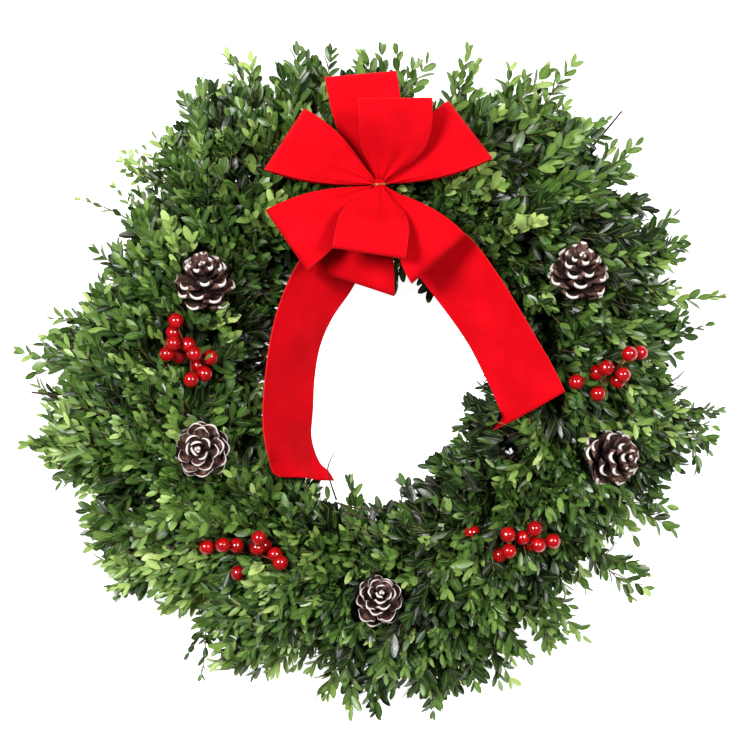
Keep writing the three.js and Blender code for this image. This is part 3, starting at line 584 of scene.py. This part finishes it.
def cone_scale(batch, place, out, lip, width, bare, rng):
    """One scale, thin at the core and thick at its broad lip, which turns up. Lip is how far out and up it
    lies, and bare how little its whitening goes round to the sides."""
    side = np.cross(UP, out)
    length, rise_to = lip
    a = np.array([0, 0.25, 0.5, 0.72, 0.87, 0.95, 1.0])[:, None]
    b = np.linspace(-1, 1, 9)[None, :]
    spread = width / 2 * np.array([0.25, 0.5, 0.82, 1.0, 1.0, 0.9, 0.76])[:, None]
    reach = length * a * (1 - 0.17 * b**2 * a**2)
    rise = rise_to * (0.5 * a + 0.5 * a**2) + 0.17 * width * b**2 * a + 0.03 * width * rng.normal() * b * a
    rise = rise + 0.09 * length * ease(0.8, 1.1, a)
    thick = (0.7 + 1.7 * a**2) * (1 - 0.3 * b**2)
    surface = place + out * reach[..., None] + side * (b * spread)[..., None] + UP * rise[..., None]
    half = unit(UP * length - out * rise_to) * thick[..., None] / 2
    points = np.concatenate([(surface + half).reshape(-1, 3), (surface - half).reshape(-1, 3)])
    lip_only = ease(0.8, 1.0, a - 0.1 * b**2) * (1 - ease(0.66, 0.98, np.abs(b)))
    outline = np.maximum(ease(0.9, 1.0, a), ease(0.86, 1.0, np.abs(b)) * ease(0.4, 0.7, a))
    near = bare * lip_only + (1 - bare) * 0.82 * outline
    white = np.tile((near * (0.8 + 0.2 * rng.random())).ravel(), 2)
    # Rim rises from the scale's base, which is painted dark: partly its darker wood, partly painted shade.
    outer_past_shade = np.tile(np.broadcast_to(ease(0.35, 0.88, a), near.shape).ravel(), 2)
    sheet, size = grid_triangles(*near.shape), near.size
    index = np.arange(size).reshape(near.shape)
    edge = np.concatenate([index[0], index[1:, -1], index[-1, -2::-1], index[-2:0:-1, 0]])
    after = np.roll(edge, -1)
    rim = [rows_of(edge, after, after + size), rows_of(edge, after + size, edge + size)]
    batch.add(points, np.concatenate([sheet[:, ::-1], sheet + size, *rim]), tone=white, rim=outer_past_shade)


def turned_to(aim):
    """Columns that turn a piece's own axes so that its Z points along aim."""
    z = unit(aim)
    x = unit(np.cross([0.3, 1.0, 0.1], z))
    return np.stack([x, np.cross(z, x), z], axis=1)


def cone_piece(index, place, spread, bare, aim):
    rng = np.random.default_rng(40 + index)
    local = Batch()
    # The core keeps rim 0, so it takes the darkest brown: partly its wood, partly painted shade.
    core = shares(9) * [0, 0, 37] + [0, 0, 1]
    tubes(local, core, [6, 7.5, 8, 8, 7, 6, 4.5, 3, 1.5], sides=10, tone=0)
    for i in range(SCALE_COUNT):
        q = i / (SCALE_COUNT - 1)
        turn = math.radians(GOLDEN_ANGLE * i + 8 * rng.normal())
        out = np.array([math.cos(turn), math.sin(turn), 0])
        latitude = math.radians(-24 + 100 * q**1.05 + 5 * rng.normal())
        foot = 2.5 + 31 * q**0.95
        reach = CONE_REACH * math.cos(latitude) * (0.96 + 0.07 * rng.random())
        height = 17.5 + 27 * math.sin(latitude)
        width = (21.5 - 12 * q**1.2) * rng.uniform(0.88, 1.06)
        if bare == 1.0 and q > CROWN_FROM:
            # The scales of an open crown stand apart round the tip.
            reach, height, width = rng.uniform(9, 14), rng.uniform(40, 46), width * 0.85
        cone_scale(local, np.array([0, 0, foot]), out, (reach, height - foot), width, bare, rng)
    for i in range(3):
        out = np.array([math.cos(2.1 * i + index), math.sin(2.1 * i + index), 0])
        cone_scale(local, CONE_TIP, out, (1.7, 9.0 - i), 4.6, 1.0, rng)
    stretch, turn = np.array([spread, spread, 2 - spread]), turned_to(aim)
    base = place - unit(aim) * CONE_LENGTH / 2
    local.points = [p * stretch @ turn.T + base for p in local.points]
    local.build(f"cone_{index + 1}", [SCALE], f"pine_cone_{index + 1}")


PICK_LOW, PICK_WIRE = 28.0, 0.95


def cone_pick_piece(index, place, aim, foot):
    aim = unit(aim)
    base = place - aim * CONE_LENGTH / 2
    bottom, leave = np.array([*foot, PICK_LOW]), np.array([*foot, 50.0])
    enter, end = base - aim * 2, base + aim * 8
    handle = 0.4 * np.linalg.norm(enter - leave)
    t = shares(14)
    a, b = leave + UP * handle, enter - aim * handle
    curve = (1 - t) ** 3 * leave + 3 * (1 - t) ** 2 * t * a + 3 * (1 - t) * t**2 * b + t**3 * enter
    batch = Batch()
    tubes(batch, np.vstack([bottom, (bottom + leave) / 2, curve, end]), PICK_WIRE, sides=10)
    batch.build(f"pick_wire_{index + 1}", [PICK], f"cone_pick_{index + 1}")


# Berry picks

BERRY_RADIUS = 6.8
BERRY_TOP, BERRY_LOWEST, HUB_HEIGHT, STEM_STEP = 101.0, 70.0, 76.0, 2.2
# Each pick's middle, and its berries from there. A third number is the height of a berry that lies deep.
BERRY_PICKS = [
    ([-159, 28], [[-10, 25], [-12, 6], [3, -25], [-18, -3], [6, -3], [-13, 15], [14, -20], [0, 5], [-9, -5],
        [19, -6, 88], [8, -13]]),
    ([205, 10], [[13, 15], [23, 16], [7, -3], [-14, -19], [-7, 3], [-32, -9], [-14, -1], [4, -8]]),
    ([-109, -146], [[-34, 6], [-20, 8], [11, 14], [29, -7], [-9, 7], [9, 5], [14, 6], [24, -1],
        [-8, -17, 81], [21, -22, 80]]),
    ([120, -135], [[-6, 6], [17, 11], [-5, -8], [20, -3], [33, 0], [7, 3], [-36, 7, 85], [15, -3],
        [-12, -12]]),
]
open_berries = []


def settled_berries(middle, berries):
    """The berries' places, each sunk until it touches no earlier one."""
    settled = []
    apart = 2 * BERRY_RADIUS + 0.3
    for x, y, *sunk in berries:
        height = sunk[0] if sunk else BERRY_TOP - 0.25 * math.hypot(x, y)
        place = np.array([middle[0] + x, middle[1] + y, height])
        while place[2] > BERRY_LOWEST and any(np.linalg.norm(o - place) < apart for o in settled):
            place[2] -= 1
        settled.append(place)
    return settled


def berry_ball(rows=11, sides=20):
    """A berry of radius 1 with its stem's end at -Z, dented at both ends."""
    latitude = np.linspace(0, np.pi, rows + 2)[1:-1, None]
    longitude = np.linspace(0, 2 * np.pi, sides + 1)[:-1]
    x, y = np.sin(latitude) * np.cos(longitude), np.sin(latitude) * np.sin(longitude)
    points = rows_of(x, y, np.cos(latitude)).reshape(-1, 3)
    return np.vstack([points, [0, 0, 0.94], [0, 0, -0.97]]), capped_tube(rows, sides)


def berry_pick_piece(index, middle, berries):
    rng = np.random.default_rng(70 + index)
    x, y = middle
    batch = Batch()
    stem = rows_of(x, y, np.linspace(PICK_LOW, HUB_HEIGHT + 1, 8))
    tubes(batch, stem, 1.0, sides=8, material=1)
    ball, faces = berry_ball()
    places = settled_berries(middle, berries)
    open_berries.extend(place for place, berry in zip(places, berries) if len(berry) == 2)
    for i, place in enumerate(places):
        fork = np.array([x, y, HUB_HEIGHT - STEM_STEP * i])
        t = shares(8)
        bulge = np.array([rng.normal(), rng.normal(), 2.5 + rng.normal()]) * 1.2
        stem = fork + (place - fork) * t + bulge * np.sin(np.pi * t)
        tubes(batch, stem, 0.7, sides=6, material=1)
        axis = turned_to(place - fork)
        batch.add(ball * BERRY_RADIUS * (0.97 + 0.04 * rng.random()) @ axis.T + place, faces)
    batch.build(f"berries_{index + 1}", [BERRY, BERRY_STEM], f"berry_pick_{index + 1}")


# What lies on the foliage, as a map of the height that leaves stay below

CELL = 2.0
HALF_MAP = 330.0
CELLS = int(2 * HALF_MAP / CELL)
ceiling = np.full((CELLS, CELLS), 1000.0)


def cells(points):
    """Rows and columns of the map that points lie over."""
    return np.moveaxis(((points[..., :2] + HALF_MAP) / CELL).astype(int), -1, 0)


def cap(points, radius, height):
    """Leaves within radius of each point, seen from above, stay below that height."""
    points = np.asarray(points, float).reshape(-1, np.shape(points)[-1])
    heights = np.broadcast_to(height, len(points))
    steps = int(radius / CELL) + 1
    i, j = cells(points)
    for di in range(-steps, steps + 1):
        for dj in range(-steps, steps + 1):
            if math.hypot(di, dj) * CELL <= radius:
                near = np.clip([i + di, j + dj], 0, CELLS - 1)
                np.minimum.at(ceiling, tuple(near), heights)


def covered(points):
    """Whether each point is above what it has to stay below."""
    i, j = np.clip(cells(points), 0, CELLS - 1)
    return points[..., 2] > ceiling[i, j]


# Hollows between the sprigs, where deeper, darker leaves show: X, Y and radius.
HOLLOWS = [
    [200, -20, 15], [150, -25, 13], [-110, -60, 11], [115, 210, 14], [145, 45, 13], [130, 115, 13],
    [45, -120, 12], [-110, 185, 15], [160, 15, 12], [120, -55, 11], [-150, -20, 13], [130, 175, 12],
    [210, 60, 10], [160, -45, 12], [-190, 25, 11], [140, 95, 10], [-145, 35, 10], [-60, 200, 11],
]
HOLLOW_DEPTH = 24.0

# Foliage

# How far the foliage's dense part reaches from the ring's centre, every 10 degrees from +X.
REACH = [
    255, 240, 280, 285, 290, 295, 300, 235, 235, 260, 275, 270,
    310, 265, 245, 250, 250, 275, 295, 300, 255, 290, 290, 220,
    295, 255, 240, 270, 275, 265, 235, 235, 240, 240, 265, 280,
]
# How near its inner edge comes to the ring's centre, every 15 degrees.
INNER = [
    114, 122, 124, 122, 120, 116, 112, 98, 98, 95, 96, 96, 96, 96, 94, 90, 103, 112, 119, 109, 95, 82, 80, 94,
]
# The foliage's rounded section: radius, height and where sprigs point there, in degrees above outward.
SECTION = np.array([
    [106, 12, 186], [99, 30, 176], [104, 52, 160], [121, 72, 128], [146, 87, 84], [176, 94, 52],
    [205, 93, 36], [230, 84, 27], [252, 69, 19], [272, 50, 11], [286, 30, 3], [284, 10, -4],
], float)
REACH_OF_SECTION = 286.0
INNER_OF_SECTION, INNER_FROM = 99.0, 150.0
# The middle of the bundled stems, which the leaves stand round.
CORE_RADIUS, CORE_HEIGHT = 181.0, 25.0
# The wreath's open middle, and how low leaves and twigs may hang.
OPEN_RADIUS = 78.0
LEAF_LOWEST, TWIG_LOWEST = 2.0, 2.2
# A leaf's rows between its base and its tip: how far along, and its width there.
LEAF_ROWS = [(0.13, 0.5), (0.36, 0.92), (0.62, 1.0), (0.87, 0.64)]


def leaf_template():
    """A leaf's points as along, across and rim, and its triangles."""
    points = [(0.0, 0.0, 0.15)]
    for along, width in LEAF_ROWS:
        points += [(along, width, 1.0), (along, 0.0, 0.0), (along, -width, 1.0)]
    points.append((1.0, 0.0, 0.3))
    triangles = [(0, 2, 1), (0, 3, 2)]
    for k in (1, 2, 4, 5, 7, 8):
        triangles += [(k + 1, k + 4, k + 3), (k + 1, k + 3, k)]
    triangles += [(11, 13, 10), (12, 13, 11)]
    return *np.array(points).T, np.array(triangles)


LEAF_ALONG, LEAF_ACROSS, LEAF_RIM, LEAF_FACES = leaf_template()


def leaf_points(place, along, face, length, width, curl, fold):
    """The points of many leaves at once."""
    along = unit(along)
    face = unit(without(face, along))
    side = np.cross(face, along)
    x = length[:, None] * LEAF_ALONG
    y = width[:, None] / 2 * LEAF_ACROSS
    z = fold[:, None] * np.abs(y) - curl[:, None] * length[:, None] * LEAF_ALONG**2
    flat = place[:, None] + along[:, None] * x[..., None] + side[:, None] * y[..., None]
    return flat + face[:, None] * z[..., None]


def round_the_ring(values, angle):
    return np.interp(angle % 360, np.linspace(0, 360, len(values) + 1), values + values[:1])


def stretched(radius, start, reach, wanted):
    """A radius moved so that what was at reach comes to wanted, and what is at start stays."""
    return start + (radius - start) * (wanted - start) / (reach - start)


def section_at(t, angle):
    """A point of the foliage's rounded surface, from 0 at its low inner edge to 1 at its low outer edge."""
    at = t * (len(SECTION) - 1)
    radius, height, rise = (np.interp(at, np.arange(len(SECTION)), column) for column in SECTION.T)
    if radius > CORE_RADIUS:
        radius = stretched(radius, CORE_RADIUS, REACH_OF_SECTION, round_the_ring(REACH, angle))
    elif radius < INNER_FROM:
        radius = stretched(radius, INNER_FROM, INNER_OF_SECTION, round_the_ring(INNER, angle))
    return radius, height, rise


class Foliage:
    """The leaves and twigs of one bunch."""

    def __init__(self, seed):
        self.rng = np.random.default_rng(seed)
        self.leaves, self.twigs = [], []

    def twig(self, path, thick, first, spacing, size, slim, tone, outward, green):
        """A leafy twig along a path, with pairs of leaves from the share first of its length."""
        rng = self.rng
        run = run_along(path)
        total = run[-1]
        at = np.arange(total, first * total, -spacing)[::-1]
        place, ahead, behind = (
            np.stack([np.interp(s, run, column) for column in path.T], -1)
            for s in (at, np.minimum(at + 2, total), np.maximum(at - 4, 0))
        )
        along = unit(ahead - behind)
        side = unit(np.cross(along, outward) + 1e-6)
        count = len(at)
        turn = np.radians(rng.uniform(50, 85)) * (np.arange(count) % 2)
        turn = (turn + rng.normal(0, 0.25, count) + rng.uniform(-0.6, 0.6))[:, None]
        pair = side * np.cos(turn) + np.cross(along, side) * np.sin(turn)
        young = np.clip((at / total - 0.72) / 0.28, 0, 1)
        for sense in (-1, 1):
            keep = rng.random(count) > 0.05
            opening = np.radians(37 - 16 * young + rng.normal(0, 8, count))[:, None]
            way = along * np.cos(opening) + sense * pair * np.sin(opening)
            face = 0.8 * outward + 0.5 * along + 0.2 * UP + rng.normal(0, 0.34, (count, 3))
            length = size * (1 - 0.32 * young) * rng.uniform(0.82, 1.12, count)
            width = length * slim * rng.uniform(0.88, 1.12, count)
            shade = tone + 0.15 * young + rng.normal(0, 0.14, count)
            curl, fold = rng.uniform(0.02, 0.16, count), rng.uniform(0.1, 0.38, count)
            self.leaves.append([x[keep] for x in (place, way, face, length, width, shade, curl, fold)])
        self.twigs.append((path, np.linspace(thick, max(0.28, 0.4 * thick), len(path)), green))

    def sprig(self, root, tip, rise_way, thick, size, slim, tone, outward, branches):
        """A branched sprig from root to tip, arriving along rise_way."""
        rng = self.rng
        span = np.linalg.norm(tip - root)
        t = shares(9)
        corner = tip - rise_way * 0.52 * span
        path = (1 - t) ** 2 * root + 2 * (1 - t) * t * corner + t**2 * tip
        path = path + np.sin(np.pi * t) * rng.normal(0, 1.6, 3)
        path = path + np.sin(2 * np.pi * t) * rng.normal(0, 1.0, 3)
        first = 1 - min(0.74, 66 / span)
        self.twig(path, thick, first, rng.uniform(7.6, 9.8), size, slim, tone, outward, 0.35)
        for _ in range(branches):
            u = rng.uniform(0.3, 0.82)
            start = path[int(u * 8)]
            ahead = unit(path[min(8, int(u * 8) + 1)] - start)
            side = unit(np.cross(ahead, outward)) * rng.choice([-1, 1])
            way = unit(ahead * 0.9 + side * rng.uniform(0.3, 0.8) + outward * rng.normal(0.12, 0.2))
            length = rng.uniform(20, 40) * (1.15 - 0.4 * u)
            s = shares(5)
            branch = start + way * length * s + (ahead * 0.3 + outward * 0.06) * length * s**2
            spacing = rng.uniform(6.8, 8.6)
            self.twig(branch, 0.55, 0.2, spacing, size * 0.9, slim, tone + 0.05, outward, 0.6)

    def add_to(self, batch):
        """Adds the leaves and twigs that stay clear of what lies on the foliage."""
        place, way, face, length, width, shade, curl, fold = (np.concatenate(x) for x in zip(*self.leaves))
        points = leaf_points(place, way, face, length, width, curl, fold)
        low = points[..., 2].min(axis=1)
        inner = np.hypot(points[..., 0], points[..., 1]).min(axis=1)
        good = ~covered(points).any(axis=1) & (low > LEAF_LOWEST) & (inner > OPEN_RADIUS)
        points, shade = points[good], shade[good]
        n, size = len(points), len(LEAF_RIM)
        faces = LEAF_FACES[None] + (np.arange(n) * size)[:, None, None]
        batch.add(points, faces, 0, np.repeat(np.clip(shade, 0, 1), size), np.tile(LEAF_RIM, n))
        for count in sorted({len(path) for path, _, _ in self.twigs}):
            same = [twig for twig in self.twigs if len(twig[0]) == count]
            paths, radii, tones = (np.array(part) for part in zip(*same))
            clear = ~covered(paths).any(axis=1)
            paths[..., 2] = np.maximum(paths[..., 2], TWIG_LOWEST)
            tubes(batch, paths[clear], radii[clear], sides=4, material=1, tone=tones[clear])


# Sprigs that stand out of the wreath's outline: the tip's X, Y and height, the leaves' size and tone, the
# number of side twigs, 0 for a bare twig, and in some rows the bearing along which the sprig arrives.
STRAYS = [
    [-256, 160, 40, 11, 0.55, 3], [-219, 193, 38, 13, 0.6, 3], [-205, 199, 44, 13, 0.4, 1],
    [-189, 212, 42, 17, 0.5, 3], [-127, 283, 36, 20, 0.6, 3], [-50, 276, 40, 17, 0.3, 3],
    [7, 286, 40, 20, 0.45, 3], [33, 273, 44, 18, 0.4, 3], [88, 276, 36, 17, 0.55, 3],
    [131, 264, 36, 20, 0.5, 3], [172, 276, 40, 19, 0.6, 3], [217, 238, 36, 14, 0.4, 0],
    [203, 230, 34, 14, 0.35, 3, 20], [228, 207, 40, 18, 0.5, 3], [261, 146, 38, 20, 0.45, 3],
    [267, 124, 34, 16, 0.35, 3], [301, 76, 36, 16, 0.6, 1], [290, 50, 34, 15, 0.25, 1],
    [270, 41, 38, 20, 0.25, 3], [292, -22, 36, 12, 0.3, 0], [283, -72, 30, 16, 0.3, 3, 262],
    [292, -58, 34, 14, 0.3, 3, 285], [296, -38, 34, 12, 0.3, 1], [259, -126, 32, 18, 0.5, 3],
    [223, -184, 32, 18, 0.5, 3], [213, -160, 36, 16, 0.4, 1], [166, -210, 34, 18, 0.5, 3],
    [153, -226, 32, 18, 0.45, 3], [119, -258, 34, 18, 0.5, 3], [72, -262, 32, 18, 0.45, 3],
    [-19, -282, 36, 20, 0.55, 3], [-50, -90, 44, 15, 0.3, 3], [-38, -94, 42, 15, 0.25, 3],
    [-162, -236, 34, 13, 0.3, 1], [-222, -186, 30, 15, 0.35, 3], [-273, -86, 34, 18, 0.5, 3],
    [-302, -54, 34, 18, 0.55, 3], [-300, -8, 36, 12, 0.4, 0], [-295, 10, 34, 18, 0.5, 3],
    [-280, 57, 36, 18, 0.5, 3],
]
# Bare brown stems that lie open at the inner edge.
BARE_STEMS = [
    [[-34, -103, 64], [-8, -109, 73], [16, -107, 68]],
    [[-27, -110, 72], [-10, -115, 80], [6, -120, 74]],
    [[-26, -119, 76], [-10, -124, 84], [4, -129, 78]],
    [[-14, -127, 79], [-2, -131, 85], [10, -130, 79]],
    [[-33, -102, 38], [-38, -86, 50], [-40, -73, 58], [-34, -59, 60]],
]
# How many each bunch has.
SPRIGS = 86
FILLERS = 22
BARE_TWIGS = 9
STEMS = 56
# How far the sprigs lean clockwise, the way that the bunches are tied on, as a share of the outward way.
FLOW = 0.7
GOLDEN_SHARE = 0.61803399
# The side of the wreath that lies away from the key light, in degrees.
SHADED_AT = 30

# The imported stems' section in a bunch's middle, as radius and height.
CORE_OUTLINE = np.array([
    [158, 4.3], [180, 3.9], [202, 4.3], [211, 13], [212, 22], [205, 34], [196, 43], [181, 45.5], [166, 45],
    [157, 34], [150, 22], [152, 12],
])
CORE_LOWEST, STEM_LOWEST = 3.6, 4.4
# Stations along the core: degrees from the bunch's middle, its size and its height.
CORE_ANGLES = np.array([-14.7, -13.4, -12, -11.3, -9.4, -6, -2, 2, 6, 9.5, 12, 14.3])
CORE_SIZES = np.array([0.36, 0.34, 0.36, 0.86, 1, 1.02, 1, 1.03, 1, 1, 0.95, 0.85])
CORE_HEIGHTS = np.array([15.6] * 3 + [24] + [CORE_HEIGHT] * 8)
# Where its size is below this share it is bound, and round.
BOUND_BELOW, BOUND_RADIUS = 0.5, 9.0


def bunch_core(batch, middle):
    """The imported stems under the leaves: a ridged body, narrow at the binding, with stems round it."""
    rng = np.random.default_rng(int(middle) % 360 + 3)
    outline = CORE_OUTLINE - [CORE_RADIUS, CORE_HEIGHT]
    k, stations = len(outline), len(CORE_ANGLES)
    points = []
    for a, grow, h in zip(CORE_ANGLES, CORE_SIZES, CORE_HEIGHTS):
        offset = outline * grow if grow > BOUND_BELOW else unit(outline) * BOUND_RADIUS
        ridge = 1 + 0.05 * rng.normal(size=(k, 1))
        ring = offset * 0.8 * np.minimum(ridge, 1.02)
        height = np.maximum(h + ring[:, 1], CORE_LOWEST)
        points.append(polar(middle + a, CORE_RADIUS + ring[:, 0], height))
    body = grid_triangles(stations, k, wrap_columns=True)
    i, end = np.arange(1, k - 1), (stations - 1) * k
    caps = rows_of(0, i + 1, i), rows_of(end, end + i, end + i + 1)
    batch.add(np.vstack(points), np.concatenate([body, *caps])[:, ::-1], 1, 0.0)
    n = STEMS
    around = (np.arange(n) + rng.uniform(-0.6, 0.6, n)) * k / n
    around = (around[:, None] + rng.normal(0, 0.35, (n, 1)) * np.linspace(-1, 1, stations)) % k
    across, rise = (np.interp(around, np.arange(k + 1), np.append(part, part[0])) for part in outline.T)
    out = rng.uniform(0.86, 1.0, (n, 1))
    size = np.where(CORE_SIZES < BOUND_BELOW, BOUND_RADIUS / np.hypot(across, rise), CORE_SIZES * out)
    level = np.maximum(CORE_HEIGHTS + rise * size, STEM_LOWEST)
    angle = middle + CORE_ANGLES + rng.normal(0, 0.8, (n, 1))
    thick = rng.uniform(1.1, 1.9, (n, 1)) * np.linspace(1.1, 0.8, stations)
    stems = polar(angle, CORE_RADIUS + across * size, level)
    tubes(batch, stems, thick, sides=4, material=1, tone=rng.uniform(0.0, 0.42, n))


def bearing(x, y):
    return math.degrees(math.atan2(y, x))


def in_bunch(angle, middle):
    """Whether an angle lies in the part of the ring that a bunch takes up."""
    return abs((angle - middle + 180) % 360 - 180) < BUNCH_STEP / 2


def bunch_piece(index):
    middle = 90 - BUNCH_STEP * index
    foliage = Foliage(500 + index)
    rng = foliage.rng
    slim = rng.uniform(0.32, 0.42)
    flow, phase = FLOW + rng.normal(0, 0.08), rng.uniform(0, 6.3)
    mood = rng.normal(0, 0.05)
    lengths = np.linalg.norm(np.diff(SECTION[:, :2], axis=0), axis=1) * (SECTION[:-1, 0] + SECTION[1:, 0]) / 2
    share = np.concatenate([[0], np.cumsum(lengths)])
    share = share / share[-1]
    for i in range(SPRIGS + FILLERS):
        filler = i >= SPRIGS
        q = (i * GOLDEN_SHARE + rng.uniform(0, 0.02)) % 1
        t = np.interp(q, share, np.linspace(0, 1, len(SECTION)))
        spread = (i - SPRIGS) / FILLERS if filler else i / SPRIGS
        angle = middle - 20 + 31 * (spread + rng.uniform(0, 0.02))
        radius, height, rise = section_at(t, angle)
        if filler:
            radius = CORE_RADIUS + 0.66 * (radius - CORE_RADIUS)
            height = CORE_HEIGHT + 0.6 * (height - CORE_HEIGHT)
        elif radius > 225:
            wave = math.radians(angle) * 41 + 4 * t
            radius += 6 * math.sin(wave)
            angle += 1.25 * math.cos(wave)
        a = math.radians(angle)
        # Hollows sink sprigs deeper, and deeper sprigs get painted shade below.
        hollow = math.sin(a * 13 + 9 * t) * math.cos(a * 5 - 14 * t)
        shaded = ease(-0.1, 0.6, math.cos(math.radians(angle - SHADED_AT)))
        depth = rng.choice([0, 9, 20], p=[0.55, 0.25, 0.2])
        depth = (depth + (13 + 9 * shaded) * ease(0.25, 0.9, hollow)) * (not filler)
        turn = np.radians(rise + rng.normal(0, 8))
        radial, clockwise = heading(angle), heading(angle - 90)
        outward = unit(radial * np.cos(turn) + UP * np.sin(turn))
        tip = polar(angle, radius, height) - outward * (depth + rng.uniform(0, 8))
        sideways = flow + 0.16 * math.sin(5 * t + phase) + rng.normal(0, 0.13)
        way = unit(radial * np.cos(turn) + UP * 0.8 * np.sin(turn) + clockwise * sideways)
        normal = unit(radial * (radius - CORE_RADIUS) / 130 + UP * (0.35 + (height - 20) / 70))
        root_radius = np.clip(radius - 44 if rise < 80 else radius + 36, 160, 203)
        root = polar(angle + 15 * sideways, root_radius, np.clip(12 + 0.32 * height, 10, 40))
        # Deeper sprigs and those at the inner edge are painted darker, as painted shade; outer sprigs are
        # painted lighter, least on the side away from the key light, as painted light.
        tone = 0.345 + mood + rng.normal(0, 0.18) - 0.012 * depth
        tone += (0.08 - 0.07 * shaded) * (radius > 235) - 0.14 * (radius < 125)
        size, narrow = rng.uniform(17.5, 23.5), slim * rng.uniform(0.9, 1.12)
        # Fillers lie low by the core and are painted darker still: painted shade.
        if filler:
            tone -= 0.26
        foliage.sprig(root, tip, way, 1.1, size, narrow, tone, normal, rng.integers(1, 4))
    for _ in range(BARE_TWIGS):
        t = rng.uniform(0.12, 0.86)
        angle = middle + rng.uniform(-BUNCH_STEP / 2, BUNCH_STEP / 2)
        radius, height, rise = section_at(t, angle)
        turn = np.radians(rise)
        tip = polar(angle, radius - 2, height - 1)
        way = unit(polar(angle, np.cos(turn), np.sin(turn)) + polar(angle - 90, flow + rng.normal(0, 0.3), 0))
        s = shares(7)
        path = tip - way * (1 - s) * rng.uniform(34, 58) - UP * 10 * (1 - s) ** 2
        foliage.twigs.append((path, np.linspace(1.0, 0.55, 7), rng.uniform(0.1, 0.5)))
    for x, y, z, size, tone, branches, *arrival in STRAYS:
        angle = bearing(x, y)
        if not in_bunch(angle, middle):
            continue
        tip = np.array([x, y, z], float)
        root = polar(angle + rng.normal(0, 3), 200.0, 24.0)
        way = unit(unit(tip - root) + rng.normal(0, 0.12, 3)) if not arrival else polar(arrival[0], 1.0, -0.1)
        normal = unit(np.array([x, y, 0]) / 260 + UP * 1.2)
        if not branches:
            t = shares(9)
            path = root + (tip - root) * t + np.sin(np.pi * t) * rng.normal(0, 4, 3)
            foliage.twigs.append((path, np.linspace(1.4, 0.85, 9), 0.15))
            continue
        foliage.sprig(root, tip, way, 0.95, size, 0.42, tone, normal, branches)
    batch = Batch()
    bunch_core(batch, middle)
    for stem in BARE_STEMS:
        if in_bunch(bearing(*stem[0][:2]), middle):
            tubes(batch, spline(stem, 12), np.linspace(0.9, 0.4, 12), material=1, tone=0.2)
    foliage.add_to(batch)
    batch.build(f"foliage_{index + 1:02d}", [LEAF, BARK], f"bunch_{index + 1:02d}")


# Everything, in the order in which it lies on what is below

ring_piece()
binding_piece()
for level, loops in enumerate(BOW_STRIPS):
    strip_piece(loops, level)
tails_piece()
tie_piece()
for number, (place, spread, bare, aim, foot) in enumerate(CONES):
    cone_piece(number, place, spread, bare, aim)
    cone_pick_piece(number, place, aim, foot)
for number, (middle, berries) in enumerate(BERRY_PICKS):
    berry_pick_piece(number, middle, berries)

for surface in ribbon_surfaces:
    inner = surface[:, 2:-2]
    cap(inner, 2.5, inner.reshape(-1, 3)[:, 2] - 4.5)
for place, _, _, aim, _ in CONES:
    for along, radius in ((-0.25, 18), (0.05, 19), (0.35, 13)):
        cap((place + unit(aim) * CONE_LENGTH * along)[None], radius, place[2] - 24)
for x, y, radius in HOLLOWS:
    level = np.interp(math.hypot(x, y), SECTION[1:9, 0], SECTION[1:9, 1])
    cap(np.array([[x, y]], float), radius, level - HOLLOW_DEPTH)
for stem in BARE_STEMS:
    path = spline(stem, 40)
    cap(path, 3.0, path[:, 2] - 4)
open_berries = np.array(open_berries)
cap(open_berries, BERRY_RADIUS + 0.6, open_berries[:, 2] - BERRY_RADIUS - 2)

for index in range(BUNCHES):
    bunch_piece(index)

# Floor, light and camera

FLOOR_HALF = 6.0
# Where the camera stands from the ring's centre.
CAMERA_PLACE = (0.00087, 0.00696, 2.25)
LIGHT_TARGET = (0, 0, 0.05)
LIGHT_SIZE = 0.7
WHITE = (1, 1, 1, 1)

floor_mesh = bpy.data.meshes.new("floor")
corners = [(x * FLOOR_HALF, y * FLOOR_HALF, 0) for x, y in ((-1, -1), (1, -1), (1, 1), (-1, 1))]
floor_mesh.from_pydata(corners, [], [(0, 1, 2, 3)])
glow = dict(Emission_Color=WHITE, Emission_Strength=0.92, Base_Color=(0.9, 0.9, 0.9, 1))
floor_mesh.materials.append(new_material("pale_floor", 0.9, 0.1, **glow)[0])
put("floor", floor_mesh)

scene = bpy.context.scene
scene.world = bpy.data.worlds.new("studio")
scene.world.use_nodes = True
set_inputs(scene.world.node_tree.nodes["Background"], Color=WHITE, Strength=0.14)


def area_light(name, place, power):
    light = bpy.data.lights.new(name, "AREA")
    light.size = LIGHT_SIZE
    light.energy = power
    obj = put(name, light)
    obj.location = place
    obj.rotation_euler = (Vector(LIGHT_TARGET) - Vector(place)).to_track_quat("-Z", "Y").to_euler()


area_light("key", (-1.15, 0.55, 2.2), 79)
area_light("fill", (1.15, 0.5, 2.2), 51)

camera_data = bpy.data.cameras.new("camera")
camera_data.lens = 121.38
camera_data.sensor_width = 36
camera_data.clip_end = 20
scene.camera = put("camera", camera_data)
scene.camera.location = CENTRE + CAMERA_PLACE
scene.view_settings.view_transform = "Standard"

bpy.context.view_layer.update()
